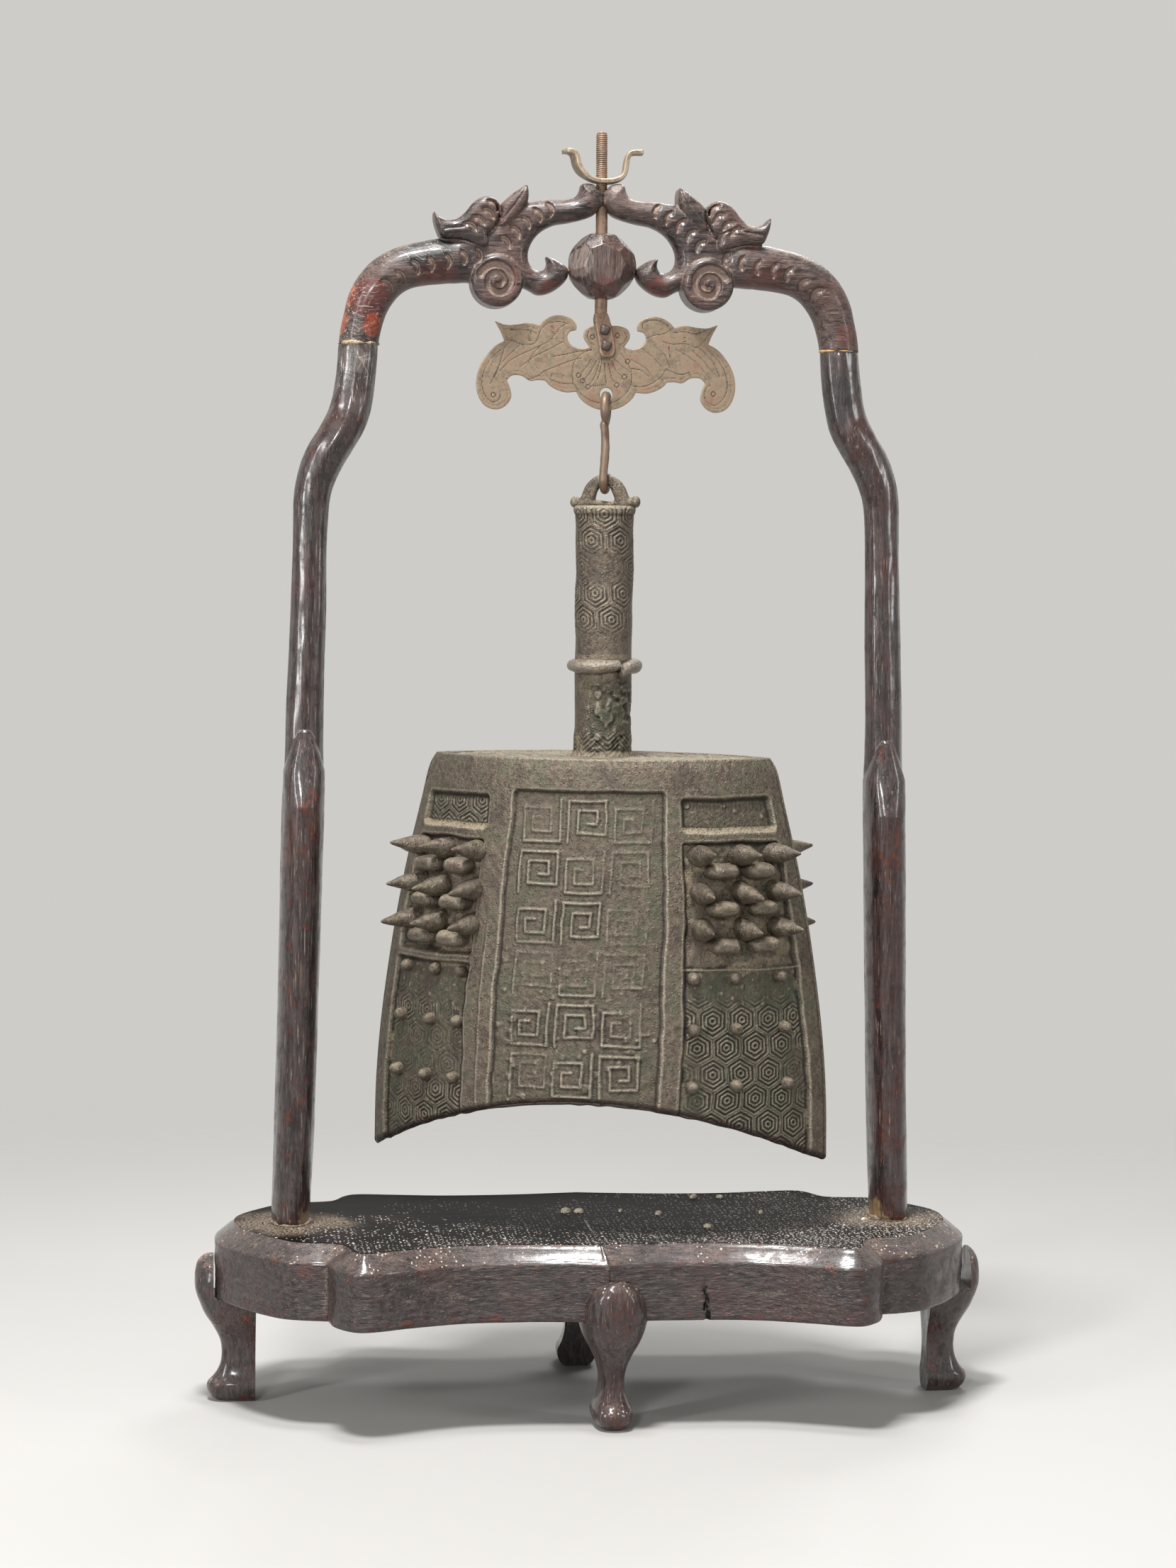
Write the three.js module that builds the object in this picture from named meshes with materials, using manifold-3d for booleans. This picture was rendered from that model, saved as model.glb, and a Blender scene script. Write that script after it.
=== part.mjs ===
// A bronze bell of the old Chinese pointed-boss kind, hung in a carved hardwood stand.
// Millimetres, +Z up, the front looks along -Y, origin on the ground below the crest.

import * as THREE from 'three';
import { mergeVertices } from 'three/addons/utils/BufferGeometryUtils.js';
import Module from 'manifold-3d';

const wasm = await Module();
wasm.setup();

// Driving dimensions of the stand
const boardEnd = 40;            // centre of a post to the end of the board
const boardFrontReach = 105.5;  // middle of the board to its front shoulders
const boardBackReach = 88;      // and to its back shoulders, which are cut shallower
const boardThickness = 38.5;
const boardChamferDrop = 8.5;
const boardChamferWidth = 10.5;
const footHeight = 56.5;        // ground to the underside of the board
const footInset = 22;           // inner face of a foot to the edge of the board
const footKneeReach = 32.5;     // inner face to the outside of the knee
const footKneeWidth = 37;
const footKneeTop = 21.5;       // the knee laps this far up the side of the board
const footSetOff = 3.5;         // the front foot stands this far to the right
const footStride = 3.5;         // the right foot is cut back this far on its inner face
const postLowerWidth = 21.5;
const postLowerDepth = 30;
const postUpperWidth = 19.6;
const postKnuckleRise = 242;    // board to the knuckle half way up a post
const postKnuckleLength = 33.7;
const postTenonDepth = 24;
const postBend = 33;            // the posts come in this far on their way up
const archRise = 85;            // butt joint of post and arch to the top of the crest
const archTubeWidth = 22.6;
const archPlateThickness = 17;
const archReliefThickness = 23;
const carveRound = 3;           // rounding of the carved outline
const scrollRadius = 13.5;
const pearlRadius = 17.8;
const pearlDepth = 30;
const pearlRise = 42.5;         // joint of post and arch to the centre of the pearl

// Driving dimensions of the metalwork
const rodDiameter = 6;
const rodStandout = 27.5;       // rod above the crest
const nutStrip = 2.7;
const nutDepth = 11;
const nutSpan = 42;
const nutRise = 15.5;
const hangShift = 3.2;          // the forged fork leans, so the bell hangs this far right of the rod
const forkWidth = 8.6;
const forkTongue = 2.2;
const forkLength = 23;
const forkHeadroom = 6.7;       // pearl to the shoulders of the fork, so the bell can be raised
const rivetDiameter = 3;
const rivetHeadDiameter = 6;
const rivetHeadHeight = 1.8;
const plaqueThickness = 1.6;
const plaqueHalfWidth = 68.6;
const plaqueGrip = 19.1;        // hole of the plaque to the foot of the fork
const plaqueHoleDiameter = 6.7;
const hookWire = 4.6;
const hookRingRadius = 7.7;
const hookReach = 44.7;         // hole of the plaque to the middle of the loop's bar

// Driving dimensions of the bell
const bellTurn = -16;           // degrees about the vertical, as it hangs
const bellHeight = 210.5;       // tips to top plate
const bellMouthRise = 34;       // the mouth arches up this far between its tips
const bellTopHalfWidth = 90.5;
const bellFaceAngle = 55;       // half the arc that each face spans, in degrees
const bellWall = 5.5;
const bellTopPlate = 6;
const shankRadius = 15.2;
const shankLength = 131.5;
const shankBore = 19;
const collarDrop = 84.5;        // top of the shank to the middle of the collar
const collarThickness = 8;
const collarProud = 4.2;
const bossLength = 24.5;
const bossDiameter = 13;
const nippleDiameter = 8;
const nippleLength = 5.5;
const barLength = 15.5;         // the short bars between the rows of bosses
const barHeight = 8;
const barProud = 5.5;
const panelSink = 1.2;
const loopWidth = 26;
const loopBar = 5.6;
const loopDepth = 5.6;
const loopHornSpan = 36;
const loopPlate = 4.8;

// Clearances and one overrun for every cut
const seatGap = 0.3;
const rodClearance = 0.6;
const hookClearance = 0.6;      // the bar of the loop rolls in the foot of the hook
const hookUnderGap = 1.8;       // foot of the hook to the plate of the loop
const ringClearance = 0.5;      // ring of the hook in the hole of the plaque
const tipClearance = 36.5;      // board to the tips of the bell
const sideClearance = 25;       // tips of the bell to the posts
const overrun = 4;
const dowelDiameter = 7;
const dowelLength = 34;
const pegDiameter = 3;
const pegLength = 10;
const dowelEndGap = 0.4;

// Materials
const finish = (color, roughness, metalness) =>
  new THREE.MeshStandardMaterial({ color, roughness, metalness });
const hardwood = finish(0x241617, 0.35, 0);
const dowelWood = finish(0x8a6a45, 0.7, 0);
const iron = finish(0x5a4436, 0.7, 0.8);
const nutMetal = finish(0x8f8570, 0.45, 0.9);
const plaqueMetal = finish(0x6e6350, 0.5, 0.85);
const bronze = finish(0x4a4a3e, 0.6, 0.7);

const degrees = Math.PI / 180;
const v2 = (x, y) => new THREE.Vector2(x, y);
const v3 = (x, y, z) => new THREE.Vector3(x, y, z);
const mix = (a, b, t) => a + (b - a) * t;

// Levels, from the ground up
const boardBottom = footHeight;
const boardTop = boardBottom + boardThickness;
const bellTipHeight = boardTop + tipClearance;
const bellTopHeight = bellTipHeight + bellHeight;
const shankTopHeight = bellTopHeight + shankLength;
const loopFoot = shankTopHeight + seatGap;
const plateShare = 0.75;        // the plate of the loop is this high between its horns
const hookFootRadius = loopBar / 2 + hookClearance + hookWire / 2;
const hookBottom = loopFoot + plateShare * loopPlate + hookUnderGap;
const loopBarCentre = hookBottom + hookWire / 2 + hookFootRadius;
const plaqueHoleHeight = loopBarCentre + hookReach;
const forkBottom = plaqueHoleHeight + plaqueGrip;
const forkTop = forkBottom + forkLength;
const pearlHeight = forkTop + forkHeadroom + pearlRadius;
const archJointHeight = pearlHeight - pearlRise;
const crestTop = archJointHeight + archRise;
const rodTop = crestTop + rodStandout;

// Breadths, from the mouth of the bell out
const flareShares = [           // down from the top to the tips, and of the top half width
  [0, 1], [0.03, 1.045], [0.12, 1.09], [0.3, 1.185], [0.5, 1.26], [0.7, 1.315], [0.85, 1.338], [1, 1.338],
];
const mouthHalfWidth = bellTopHalfWidth * flareShares[flareShares.length - 1][1];
const postFoot = hangShift + mouthHalfWidth + sideClearance + postLowerWidth / 2;
const archReach = postFoot - postBend;
const boardLength = 2 * (postFoot + boardEnd);

// A closed geometry as a solid, and back
function solid(geometry) {
  const bare = geometry.index ? geometry.toNonIndexed() : geometry.clone();
  bare.deleteAttribute('normal');
  bare.deleteAttribute('uv');
  const merged = mergeVertices(bare, 1e-4);
  return new wasm.Manifold(new wasm.Mesh({
    numProp: 3,
    vertProperties: merged.attributes.position.array,
    triVerts: new Uint32Array(merged.index.array),
  }));
}

function geometryOf(body) {
  const { vertProperties, triVerts, numProp } = body.getMesh();
  const places = new Float32Array(vertProperties.length / numProp * 3);
  for (let i = 0; i < places.length / 3; i++) {
    for (let k = 0; k < 3; k++) places[3 * i + k] = vertProperties[numProp * i + k];
  }
  const geometry = new THREE.BufferGeometry();
  geometry.setAttribute('position', new THREE.BufferAttribute(places, 3));
  geometry.setIndex(new THREE.BufferAttribute(new Uint32Array(triVerts), 1));
  geometry.computeVertexNormals();
  return geometry;
}

const joined = (...bodies) => bodies.reduce((whole, body) => whole.add(body));
const cut = (whole, ...tools) => tools.reduce((left, tool) => left.subtract(tool), whole);

// A closed skin over a stack of rings, each with the same number of points, counterclockwise
// when seen from the last ring
function loft(rings) {
  const count = rings[0].length;
  const places = rings.flat().map((p) => [p.x, p.y, p.z]);
  const middle = (ring) => ring.reduce((sum, p) => sum.add(p), v3(0, 0, 0)).divideScalar(count);
  const first = places.push(middle(rings[0]).toArray()) - 1;
  const last = places.push(middle(rings[rings.length - 1]).toArray()) - 1;
  const faces = [];
  const end = (rings.length - 1) * count;
  for (let j = 0; j < count; j++) {
    const k = (j + 1) % count;
    for (let i = 0; i < rings.length - 1; i++) {
      const [a, b] = [i * count + j, i * count + k];
      faces.push(a, b, b + count, a, b + count, a + count);
    }
    faces.push(first, k, j, last, end + j, end + k);
  }
  const geometry = new THREE.BufferGeometry();
  geometry.setAttribute('position', new THREE.Float32BufferAttribute(places.flat(), 3));
  geometry.setIndex(faces);
  return geometry;
}

// A round rod or hole between two heights
function upright(diameter, low, high, x = 0, y = 0, sides = 16) {
  const height = high - low;
  const body = new THREE.CylinderGeometry(diameter / 2, diameter / 2, height, sides);
  body.rotateX(Math.PI / 2).translate(x, y, low + height / 2);
  return body;
}

function block(width, depth, height, x, y, z) {
  return new THREE.BoxGeometry(width, depth, height).translate(x, y, z);
}

// An outline in X and Z, given depth along Y about y = 0
function slab(shape, thickness, bevel = 0, segments = 6) {
  const body = new THREE.ExtrudeGeometry(shape, {
    depth: thickness - 2 * bevel,
    bevelEnabled: bevel > 0,
    bevelThickness: bevel,
    bevelSize: bevel,
    bevelOffset: -bevel,
    bevelSegments: 2,
    curveSegments: segments,
  });
  return body.translate(0, 0, bevel - thickness / 2).rotateX(Math.PI / 2);
}

// A round bar along a curve
function bar(curve, diameter, steps, sides = 8) {
  const section = new THREE.Shape();
  section.absarc(0, 0, diameter / 2, 0, 2 * Math.PI);
  return new THREE.ExtrudeGeometry(section, {
    steps, curveSegments: sides / 2, extrudePath: curve, bevelEnabled: false,
  });
}

const part = new THREE.Group();
function add(name, geometry, material, group = part) {
  const mesh = new THREE.Mesh(geometry, material);
  mesh.name = name;
  group.add(mesh);
}

// Base board: a plank sawn to four scalloped lobes, with a wide chamfer round its top
const boardFrontShares = [      // of half the length and of the reach, one quarter
  [0, 0.82], [0.2, 0.797], [0.375, 0.82], [0.5, 0.9], [0.6, 0.99], [0.655, 0.985],
  [0.7, 0.88], [0.72, 0.71], [0.83, 0.65], [0.92, 0.44], [0.985, 0.2],
];
const boardBackShares = [
  [0, 1], [0.2, 0.93], [0.375, 0.925], [0.5, 0.965], [0.6, 0.995], [0.655, 0.96],
  [0.695, 0.85], [0.715, 0.74], [0.83, 0.7], [0.92, 0.48], [0.985, 0.23],
];
const boardPoint = ([x, y], side, reach) => v2(side * x * boardLength / 2, y * reach);
const frontEdge = (side) => (
  boardFrontShares.map((share) => boardPoint(share, side, -boardFrontReach)));
const backEdge = (side) => (
  boardBackShares.map((share) => boardPoint(share, side, boardBackReach)));
const boardOutline = [
  ...frontEdge(1),
  v2(boardLength / 2, 0),
  ...backEdge(1).reverse(),
  ...backEdge(-1).slice(1),
  v2(-boardLength / 2, 0),
  ...frontEdge(-1).slice(1).reverse(),
];

// Each point of a closed counterclockwise outline moved inwards by a distance
function inset(outline, distance) {
  return outline.map((p, i) => {
    const before = outline[(i + outline.length - 1) % outline.length];
    const after = outline[(i + 1) % outline.length];
    const a = p.clone().sub(before).normalize();
    const b = after.clone().sub(p).normalize();
    const inward = v2(-a.y - b.y, a.x + b.x).normalize();
    const spread = Math.max(inward.dot(v2(-a.y, a.x)), 0.75);
    return p.clone().addScaledVector(inward, distance / spread);
  });
}
const atHeight = (outline, z) => outline.map((p) => v3(p.x, p.y, z));
function boardBlank(grow) {
  const side = inset(boardOutline, -grow);
  return solid(loft([
    atHeight(side, boardBottom - grow),
    atHeight(side, boardTop - boardChamferDrop + grow),
    atHeight(inset(boardOutline, boardChamferWidth - grow), boardTop + grow),
  ]));
}

// Feet: four cabriole feet, each with a knee that laps the edge of the board, doweled to it
const footShares = [            // height, width of the knee width, reach of the knee reach
  [0, 0.42, 0.66], [0.05, 0.55, 0.74], [0.12, 0.6, 0.77], [0.2, 0.46, 0.62], [0.31, 0.36, 0.55],
  [0.46, 0.58, 0.65], [0.62, 0.88, 0.86], [0.77, 1, 1], [0.88, 0.9, 0.99], [0.96, 0.66, 0.93],
  [1, 0.3, 0.8],
];
const footTotal = footHeight + footKneeTop;
const footSides = 10;
const footRoundShare = 0.62;    // below 1 the section is fuller than an ellipse
function footBlank(kneeReach) {
  return solid(loft(footShares.map(([height, width, reach]) => {
    const ring = [];
    for (let i = 0; i <= footSides; i++) {
      const turn = (i / footSides - 0.5) * Math.PI;
      const out = Math.max(Math.cos(turn), 0) ** footRoundShare;
      const along = Math.sign(turn) * Math.abs(Math.sin(turn)) ** footRoundShare;
      ring.push(v3(
        out * Math.min(reach * footKneeReach, kneeReach),
        along * width * footKneeWidth / 2,
        height * footTotal,
      ));
    }
    return ring;
  })));
}
const frontWaist = boardFrontShares[0][1] * boardFrontReach;
const footPlaces = [            // name, inner face from the middle, set off, cut back
  ['front', frontWaist - footInset, footSetOff, 0],
  ['back', boardBackReach - footInset, 0, 0],
  ['left', boardLength / 2 - footInset, 0, 0],
  ['right', boardLength / 2 - footInset, 0, footStride],
];
const footTurnShares = { front: -0.25, back: 0.25, left: 0.5, right: 0 };
const footDowelLow = boardBottom - dowelLength * 0.5;
const footDowelHigh = boardBottom + dowelLength * 0.5;
const boardRoom = boardBlank(seatGap);
const footDowelHoles = [];
for (const [name, inner, setOff, cutBack] of footPlaces) {
  const turn = footTurnShares[name] * 360;
  const reach = inner + cutBack + (footInset - cutBack) / 2;
  const place = v2(reach, setOff).rotateAround(v2(0, 0), turn * degrees);
  const hole = solid(upright(dowelDiameter + 2 * seatGap, footDowelLow - dowelEndGap,
    footDowelHigh + dowelEndGap, place.x, place.y));
  footDowelHoles.push(hole);
  const blank = footBlank(footKneeReach - cutBack).translate([inner + cutBack, setOff, 0]);
  add(`foot_${name}`, geometryOf(cut(blank.rotate([0, 0, turn]), boardRoom, hole)), hardwood);
  add(`foot_dowel_${name}`, upright(dowelDiameter, footDowelLow, footDowelHigh, place.x, place.y),
    dowelWood);
}

// Posts: one carved length each side. The lower half is deep from front to back and ends in a
// knuckle, and above it a round stem bends in to meet the arch.
const postKnuckleHeight = boardTop + postKnuckleRise;
const lowerStep = (postLowerDepth - postUpperWidth) / 2;
const postStations = [          // height, centre, width, depth, forward
  [boardTop + seatGap, postFoot, postLowerWidth * 0.94, postLowerDepth * 0.94, lowerStep],
  [mix(boardTop, postKnuckleHeight, 0.4), mix(postFoot, archReach, 0.09), postLowerWidth,
    postLowerDepth, lowerStep],
  [postKnuckleHeight - 0.7 * postKnuckleLength, mix(postFoot, archReach, 0.17), postLowerWidth * 1.05,
    postLowerDepth, lowerStep],
  [postKnuckleHeight - 0.25 * postKnuckleLength, mix(postFoot, archReach, 0.18), postLowerWidth,
    postLowerDepth * 0.93, lowerStep * 0.8],
  [postKnuckleHeight + 0.1 * postKnuckleLength, mix(postFoot, archReach, 0.18), postLowerWidth * 0.95,
    mix(postLowerDepth, postUpperWidth, 0.6), lowerStep * 0.35],
  [postKnuckleHeight + 0.35 * postKnuckleLength, mix(postFoot, archReach, 0.18), postUpperWidth,
    postUpperWidth, 0],
];
const postStemShares = [        // of the rise to the joint, of the inward bend, width, depth
  [0.3, 0.22, 0.97, 0.97], [0.56, 0.26, 0.92, 0.96], [0.65, 0.3, 0.99, 1], [0.71, 0.43, 1.14, 1.04],
  [0.755, 0.58, 1.24, 1.07], [0.8, 0.75, 1.22, 1.08], [0.85, 0.88, 1.1, 1.06], [0.92, 0.955, 1.06, 1.04],
];
for (const [rise, bend, width, depth] of postStemShares) {
  postStations.push([mix(postKnuckleHeight, archJointHeight, rise), mix(postFoot, archReach, bend),
    width * postUpperWidth, depth * postUpperWidth, 0]);
}
postStations.push([archJointHeight - seatGap / 2, archReach, postUpperWidth * 1.05,
  postUpperWidth * 1.04, 0]);

const postSides = 16;
function roundedRing(x, y, z, width, depth, squareness) {
  const ring = [];
  for (let i = 0; i < postSides; i++) {
    const turn = 2 * Math.PI * i / postSides;
    const [c, s] = [Math.cos(turn), Math.sin(turn)];
    const stretch = (Math.abs(c) ** squareness + Math.abs(s) ** squareness) ** (-1 / squareness);
    ring.push(v3(x + c * stretch * width / 2, y + s * stretch * depth / 2, z));
  }
  return ring;
}
const tenonWidth = postLowerWidth * 0.7;
const tenonTop = boardTop + overrun;
const tenonBottom = boardTop - postTenonDepth;
const archDowelLow = archJointHeight - dowelLength / 2;
const archDowelHigh = archJointHeight + dowelLength / 2;
const tenonHoles = [];
const sides = [['left', -1], ['right', 1]];
for (const [name, side] of sides) {
  const stem = solid(loft(postStations.map(([z, x, width, depth, forward]) => {
    const square = depth > postUpperWidth * 1.2 ? 2.6 : 2.1;
    return roundedRing(side * x, -forward, z, width, depth, square);
  })));
  const tenon = solid(upright(tenonWidth, tenonBottom + dowelEndGap, tenonTop, side * postFoot,
    -lowerStep));
  tenonHoles.push(solid(upright(tenonWidth + 2 * seatGap, tenonBottom, tenonTop, side * postFoot,
    -lowerStep)));
  const socket = solid(upright(dowelDiameter + 2 * seatGap, archDowelLow - dowelEndGap,
    archJointHeight + overrun, side * archReach));
  add(`post_${name}`, geometryOf(cut(joined(stem, tenon), socket)), hardwood);
  add(`arch_dowel_${name}`, upright(dowelDiameter, archDowelLow, archDowelHigh, side * archReach),
    dowelWood);
}
add('base_board', geometryOf(cut(boardBlank(0), ...footDowelHoles, ...tenonHoles)), hardwood);

// Pearl: the thick faceted disc between the dragons. The rod runs down through it.
const pearlSides = 14;
const pearlShares = [           // radius of the pearl's, depth of half the pearl's, turned about Y
  [0, -1], [0.5, -1], [0.84, -0.72], [1, -0.3], [1, 0.3], [0.84, 0.72], [0.5, 1], [0, 1],
];
function pearlBlank(grow) {
  const profile = pearlShares.map(([radius, depth]) => v2(
    radius * (pearlRadius + grow),
    depth * (pearlDepth / 2 + grow),
  ));
  return solid(new THREE.LatheGeometry(profile, pearlSides).translate(0, 0, pearlHeight));
}
const rodBore = rodDiameter + 2 * rodClearance;
const rodWay = solid(upright(rodBore, forkBottom, crestTop + overrun));
const pearlRoom = pearlBlank(seatGap);

const pegDrop = pearlRadius * 0.15;
function pegBetween(side, diameter, grow) {
  const length = pegLength + 2 * grow;
  const peg = new THREE.CylinderGeometry(diameter / 2, diameter / 2, length, 8);
  return peg.rotateZ(Math.PI / 2).translate(side * pearlRadius, 0, pearlHeight - pegDrop);
}
const pegHoles = sides.map(([, side]) => (
  solid(pegBetween(side, pegDiameter + 2 * seatGap, dowelEndGap))));
add('pearl_boss', geometryOf(cut(pearlBlank(0), rodWay, ...pegHoles)), hardwood);
sides.forEach(([name, side]) => add(`pearl_peg_${name}`, pegBetween(side, pegDiameter, 0), dowelWood));

// Arch: two dragons carved in one length each with the bend that lands on the post, meeting at the
// crest. Points are shares of the arch's reach and of its rise above the joint.
const carvedShares = [
  [0.683, 0.808], [0.665, 0.718], [0.644, 0.658], [0.63, 0.518], [0.591, 0.4],
  [0.541, 0.385], [0.487, 0.291], [0.414, 0.249], [0.341, 0.281], [0.303, 0.339],
  [0.244, 0.324], [0.183, 0.342], [0.12, 0.406], [0.12, 0.487], [0.183, 0.538],
  [0.225, 0.554], [0.228, 0.501], [0.239, 0.467], [0.269, 0.466], [0.295, 0.518],
  [0.299, 0.608], [0.27, 0.7], [0.197, 0.762], [0.1, 0.796], [0, 0.847], [0, 0.968],
  [0.052, 1], [0.081, 1], [0.095, 0.939], [0.119, 0.904], [0.198, 0.906], [0.306, 0.885],
  [0.418, 0.847], [0.537, 0.812], [0.598, 0.754],
];
const headShares = [
  [0.683, 0.808], [0.665, 0.718], [0.646, 0.653], [0.528, 0.606], [0.472, 0.608],
  [0.457, 0.679], [0.394, 0.741], [0.351, 0.782], [0.311, 0.871], [0.315, 0.99],
  [0.366, 0.941], [0.418, 0.881], [0.471, 0.914], [0.537, 0.842], [0.598, 0.754],
];
const scrollShare = [0.437, 0.42];
const limbShares = [            // centre of the bend, and its width, from the joint to the head
  [1, 0, 1], [0.985, 0.1, 1], [0.95, 0.25, 1.02], [0.89, 0.375, 1.02], [0.81, 0.452, 1],
  [0.72, 0.5, 1.07], [0.64, 0.525, 1.2], [0.58, 0.53, 1.12],
];
const neckShare = 0.0237;        // the thinnest wood of the outline, of the arch's reach
const carveBevel = Math.min(carveRound, archReach * neckShare);
const onArch = ([x, z]) => v2(x * archReach, archJointHeight + z * archRise);
const outline = (shares) => new THREE.Shape(shares.map(onArch));

const limbSides = 12;
function limb() {
  const centres = limbShares.map((share) => onArch(share));
  return solid(loft(centres.map((centre, i) => {
    const before = centres[Math.max(i - 1, 0)];
    const after = centres[Math.min(i + 1, centres.length - 1)];
    const along = i === 0 ? v2(0, 1) : after.clone().sub(before).normalize();
    const radius = limbShares[i][2] * archTubeWidth / 2;
    const ring = [];
    for (let j = 0; j < limbSides; j++) {
      const turn = 2 * Math.PI * j / limbSides;
      const across = Math.cos(turn) * radius;
      ring.push(v3(
        centre.x + along.y * across,
        Math.sin(turn) * Math.min(radius, archTubeWidth / 2),
        centre.y - along.x * across + (i === 0 ? seatGap / 2 : 0),
      ));
    }
    return ring;
  })));
}
function archBlank() {
  const scroll = new THREE.CylinderGeometry(scrollRadius, scrollRadius, archReliefThickness, 16);
  const centre = onArch(scrollShare);
  scroll.translate(centre.x, 0, centre.y);
  return joined(
    limb(),
    solid(slab(outline(carvedShares), archPlateThickness, carveBevel)),
    solid(slab(outline(headShares), archReliefThickness, carveBevel * 0.7)),
    solid(scroll),
  );
}
const midGap = solid(block(seatGap, archReach, archReach, 0, 0, crestTop - archRise / 4));
const archHalf = cut(archBlank(), midGap, pearlRoom, rodWay);
sides.forEach(([name, side], i) => {
  const turned = side > 0 ? archHalf : archHalf.mirror([1, 0, 0]);
  const socket = solid(upright(dowelDiameter + 2 * seatGap, archJointHeight - overrun,
    archDowelHigh + dowelEndGap, side * archReach));
  add(`arch_${name}`, geometryOf(cut(turned, socket, pegHoles[i])), hardwood);
});

// Rod: threaded above, and below the pearl forged flat and split into two tongues that grip the
// plaque. The wing nut on the crest carries it.
const tongueGap = plaqueThickness + 2 * seatGap;
const forkDepth = tongueGap + 2 * forkTongue;
const forkShape = new THREE.Shape();
forkShape.moveTo(-rodDiameter / 2, forkTop);
forkShape.lineTo(hangShift - forkWidth / 2, forkBottom + forkWidth / 2);
forkShape.absarc(hangShift, forkBottom + forkWidth / 2, forkWidth / 2, Math.PI, 2 * Math.PI);
forkShape.lineTo(rodDiameter / 2, forkTop);
const tongueTop = forkTop - forkLength * 0.2;
const rivetHeights = [forkBottom + forkLength * 0.62, forkBottom + forkLength * 0.26];
const rivetPlace = (z) => mix(hangShift, 0, (z - forkBottom) / forkLength * 0.7);

// A round pin or hole along Y
function crossways(diameter, length, x, z, count = 12) {
  const pin = new THREE.CylinderGeometry(diameter / 2, diameter / 2, length, count);
  return pin.translate(x, 0, z);
}
const rivetHoles = rivetHeights.map((z) => (
  solid(crossways(rivetDiameter + 2 * seatGap, archReach, rivetPlace(z), z))));
const split = solid(block(archReach, tongueGap, tongueTop - forkBottom + overrun, 0, 0,
  (tongueTop + forkBottom - overrun) / 2));
const shaft = solid(upright(rodDiameter, forkTop - overrun / 2, rodTop, 0, 0, 14));
const fork = solid(slab(forkShape, forkDepth, 0, 5));
add('threaded_rod', geometryOf(cut(joined(shaft, fork), split, ...rivetHoles)), iron);

const headReach = forkDepth / 2 + seatGap;
rivetHeights.forEach((z, i) => {
  const x = rivetPlace(z);
  const half = headReach + rivetHeadHeight;
  const profile = [v2(0, -half), v2(rivetHeadDiameter * 0.32, -half),
    v2(rivetHeadDiameter / 2, -headReach), v2(rivetDiameter / 2, -headReach),
    v2(rivetDiameter / 2, headReach), v2(rivetHeadDiameter / 2, headReach),
    v2(rivetHeadDiameter * 0.32, half), v2(0, half)];
  add(`rivet_${['upper', 'lower'][i]}`, new THREE.LatheGeometry(profile, 10).translate(x, 0, z), iron);
});

// Wing nut: a strip bent up into two wings, tapped through its middle, resting on the crest
const nutSeat = crestTop + seatGap;
const nutShares = [             // of half the span, and of the rise of the wings
  [-1, 1], [-0.88, 0.97], [-0.7, 0.84], [-0.65, 0.5], [-0.55, 0.24], [-0.3, 0.04], [0, 0],
];
const nutLine = [...nutShares, ...nutShares.slice(0, -1).reverse().map(([x, z]) => [-x, z])];
const nutPlace = ([x, z]) => v2(x * nutSpan / 2, nutSeat + nutStrip / 2 + z * nutRise);
function stripOutline(line, thickness) {
  const edge = (way) => line.map((p, i) => {
    const before = line[Math.max(i - 1, 0)];
    const after = line[Math.min(i + 1, line.length - 1)];
    const along = after.clone().sub(before).normalize();
    return v2(p.x + way * along.y * thickness / 2, p.y - way * along.x * thickness / 2);
  });
  return new THREE.Shape([...edge(1), ...edge(-1).reverse()]);
}
const nutStripBody = solid(slab(stripOutline(nutLine.map(nutPlace), nutStrip), nutDepth));
const nutBore = solid(upright(rodDiameter + 2 * seatGap, crestTop - overrun, rodTop + overrun));
add('wing_nut', geometryOf(cut(nutStripBody, nutBore)), nutMetal);

// Plaque: sheet metal cut as a bat with spread wings. Points are shares of its half width, from
// the hole that the hook hangs in.
const plaqueShares = [
  [0.101, 0.519], [0.165, 0.49], [0.175, 0.431], [0.14, 0.362], [0.23, 0.351],
  [0.292, 0.386], [0.3, 0.439], [0.254, 0.483], [0.233, 0.512], [0.292, 0.58],
  [0.372, 0.592], [0.469, 0.567], [0.525, 0.517], [0.612, 0.534], [0.77, 0.515],
  [0.859, 0.541], [0.783, 0.392], [0.904, 0.3], [0.984, 0.176], [1, 0.074],
  [0.965, -0.063], [0.873, -0.13], [0.765, -0.103], [0.727, -0.016], [0.755, 0.063],
  [0.765, 0.095], [0.736, 0.127], [0.663, 0.133], [0.587, 0.089], [0.475, 0.098],
  [0.385, 0.025], [0.306, 0.01], [0.229, 0.01], [0.156, -0.071], [0.05, -0.117],
];
const plaqueSide = (way) => plaqueShares.map(([x, z]) => v2(
  hangShift + way * x * plaqueHalfWidth,
  plaqueHoleHeight + z * plaqueHalfWidth,
));
const plaqueShape = new THREE.Shape([...plaqueSide(1), ...plaqueSide(-1).reverse()]);
const hookHole = solid(crossways(plaqueHoleDiameter, archReach, hangShift, plaqueHoleHeight, 28));
const plaqueSheet = solid(slab(plaqueShape, plaqueThickness));
add('bat_plaque', geometryOf(cut(plaqueSheet, hookHole, ...rivetHoles)), plaqueMetal);

// The hook, the loop and the bell hang in one line, turned together about the vertical
const hung = new THREE.Group();
hung.position.set(hangShift, 0, 0);
hung.rotation.z = bellTurn * degrees;
part.add(hung);

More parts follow.
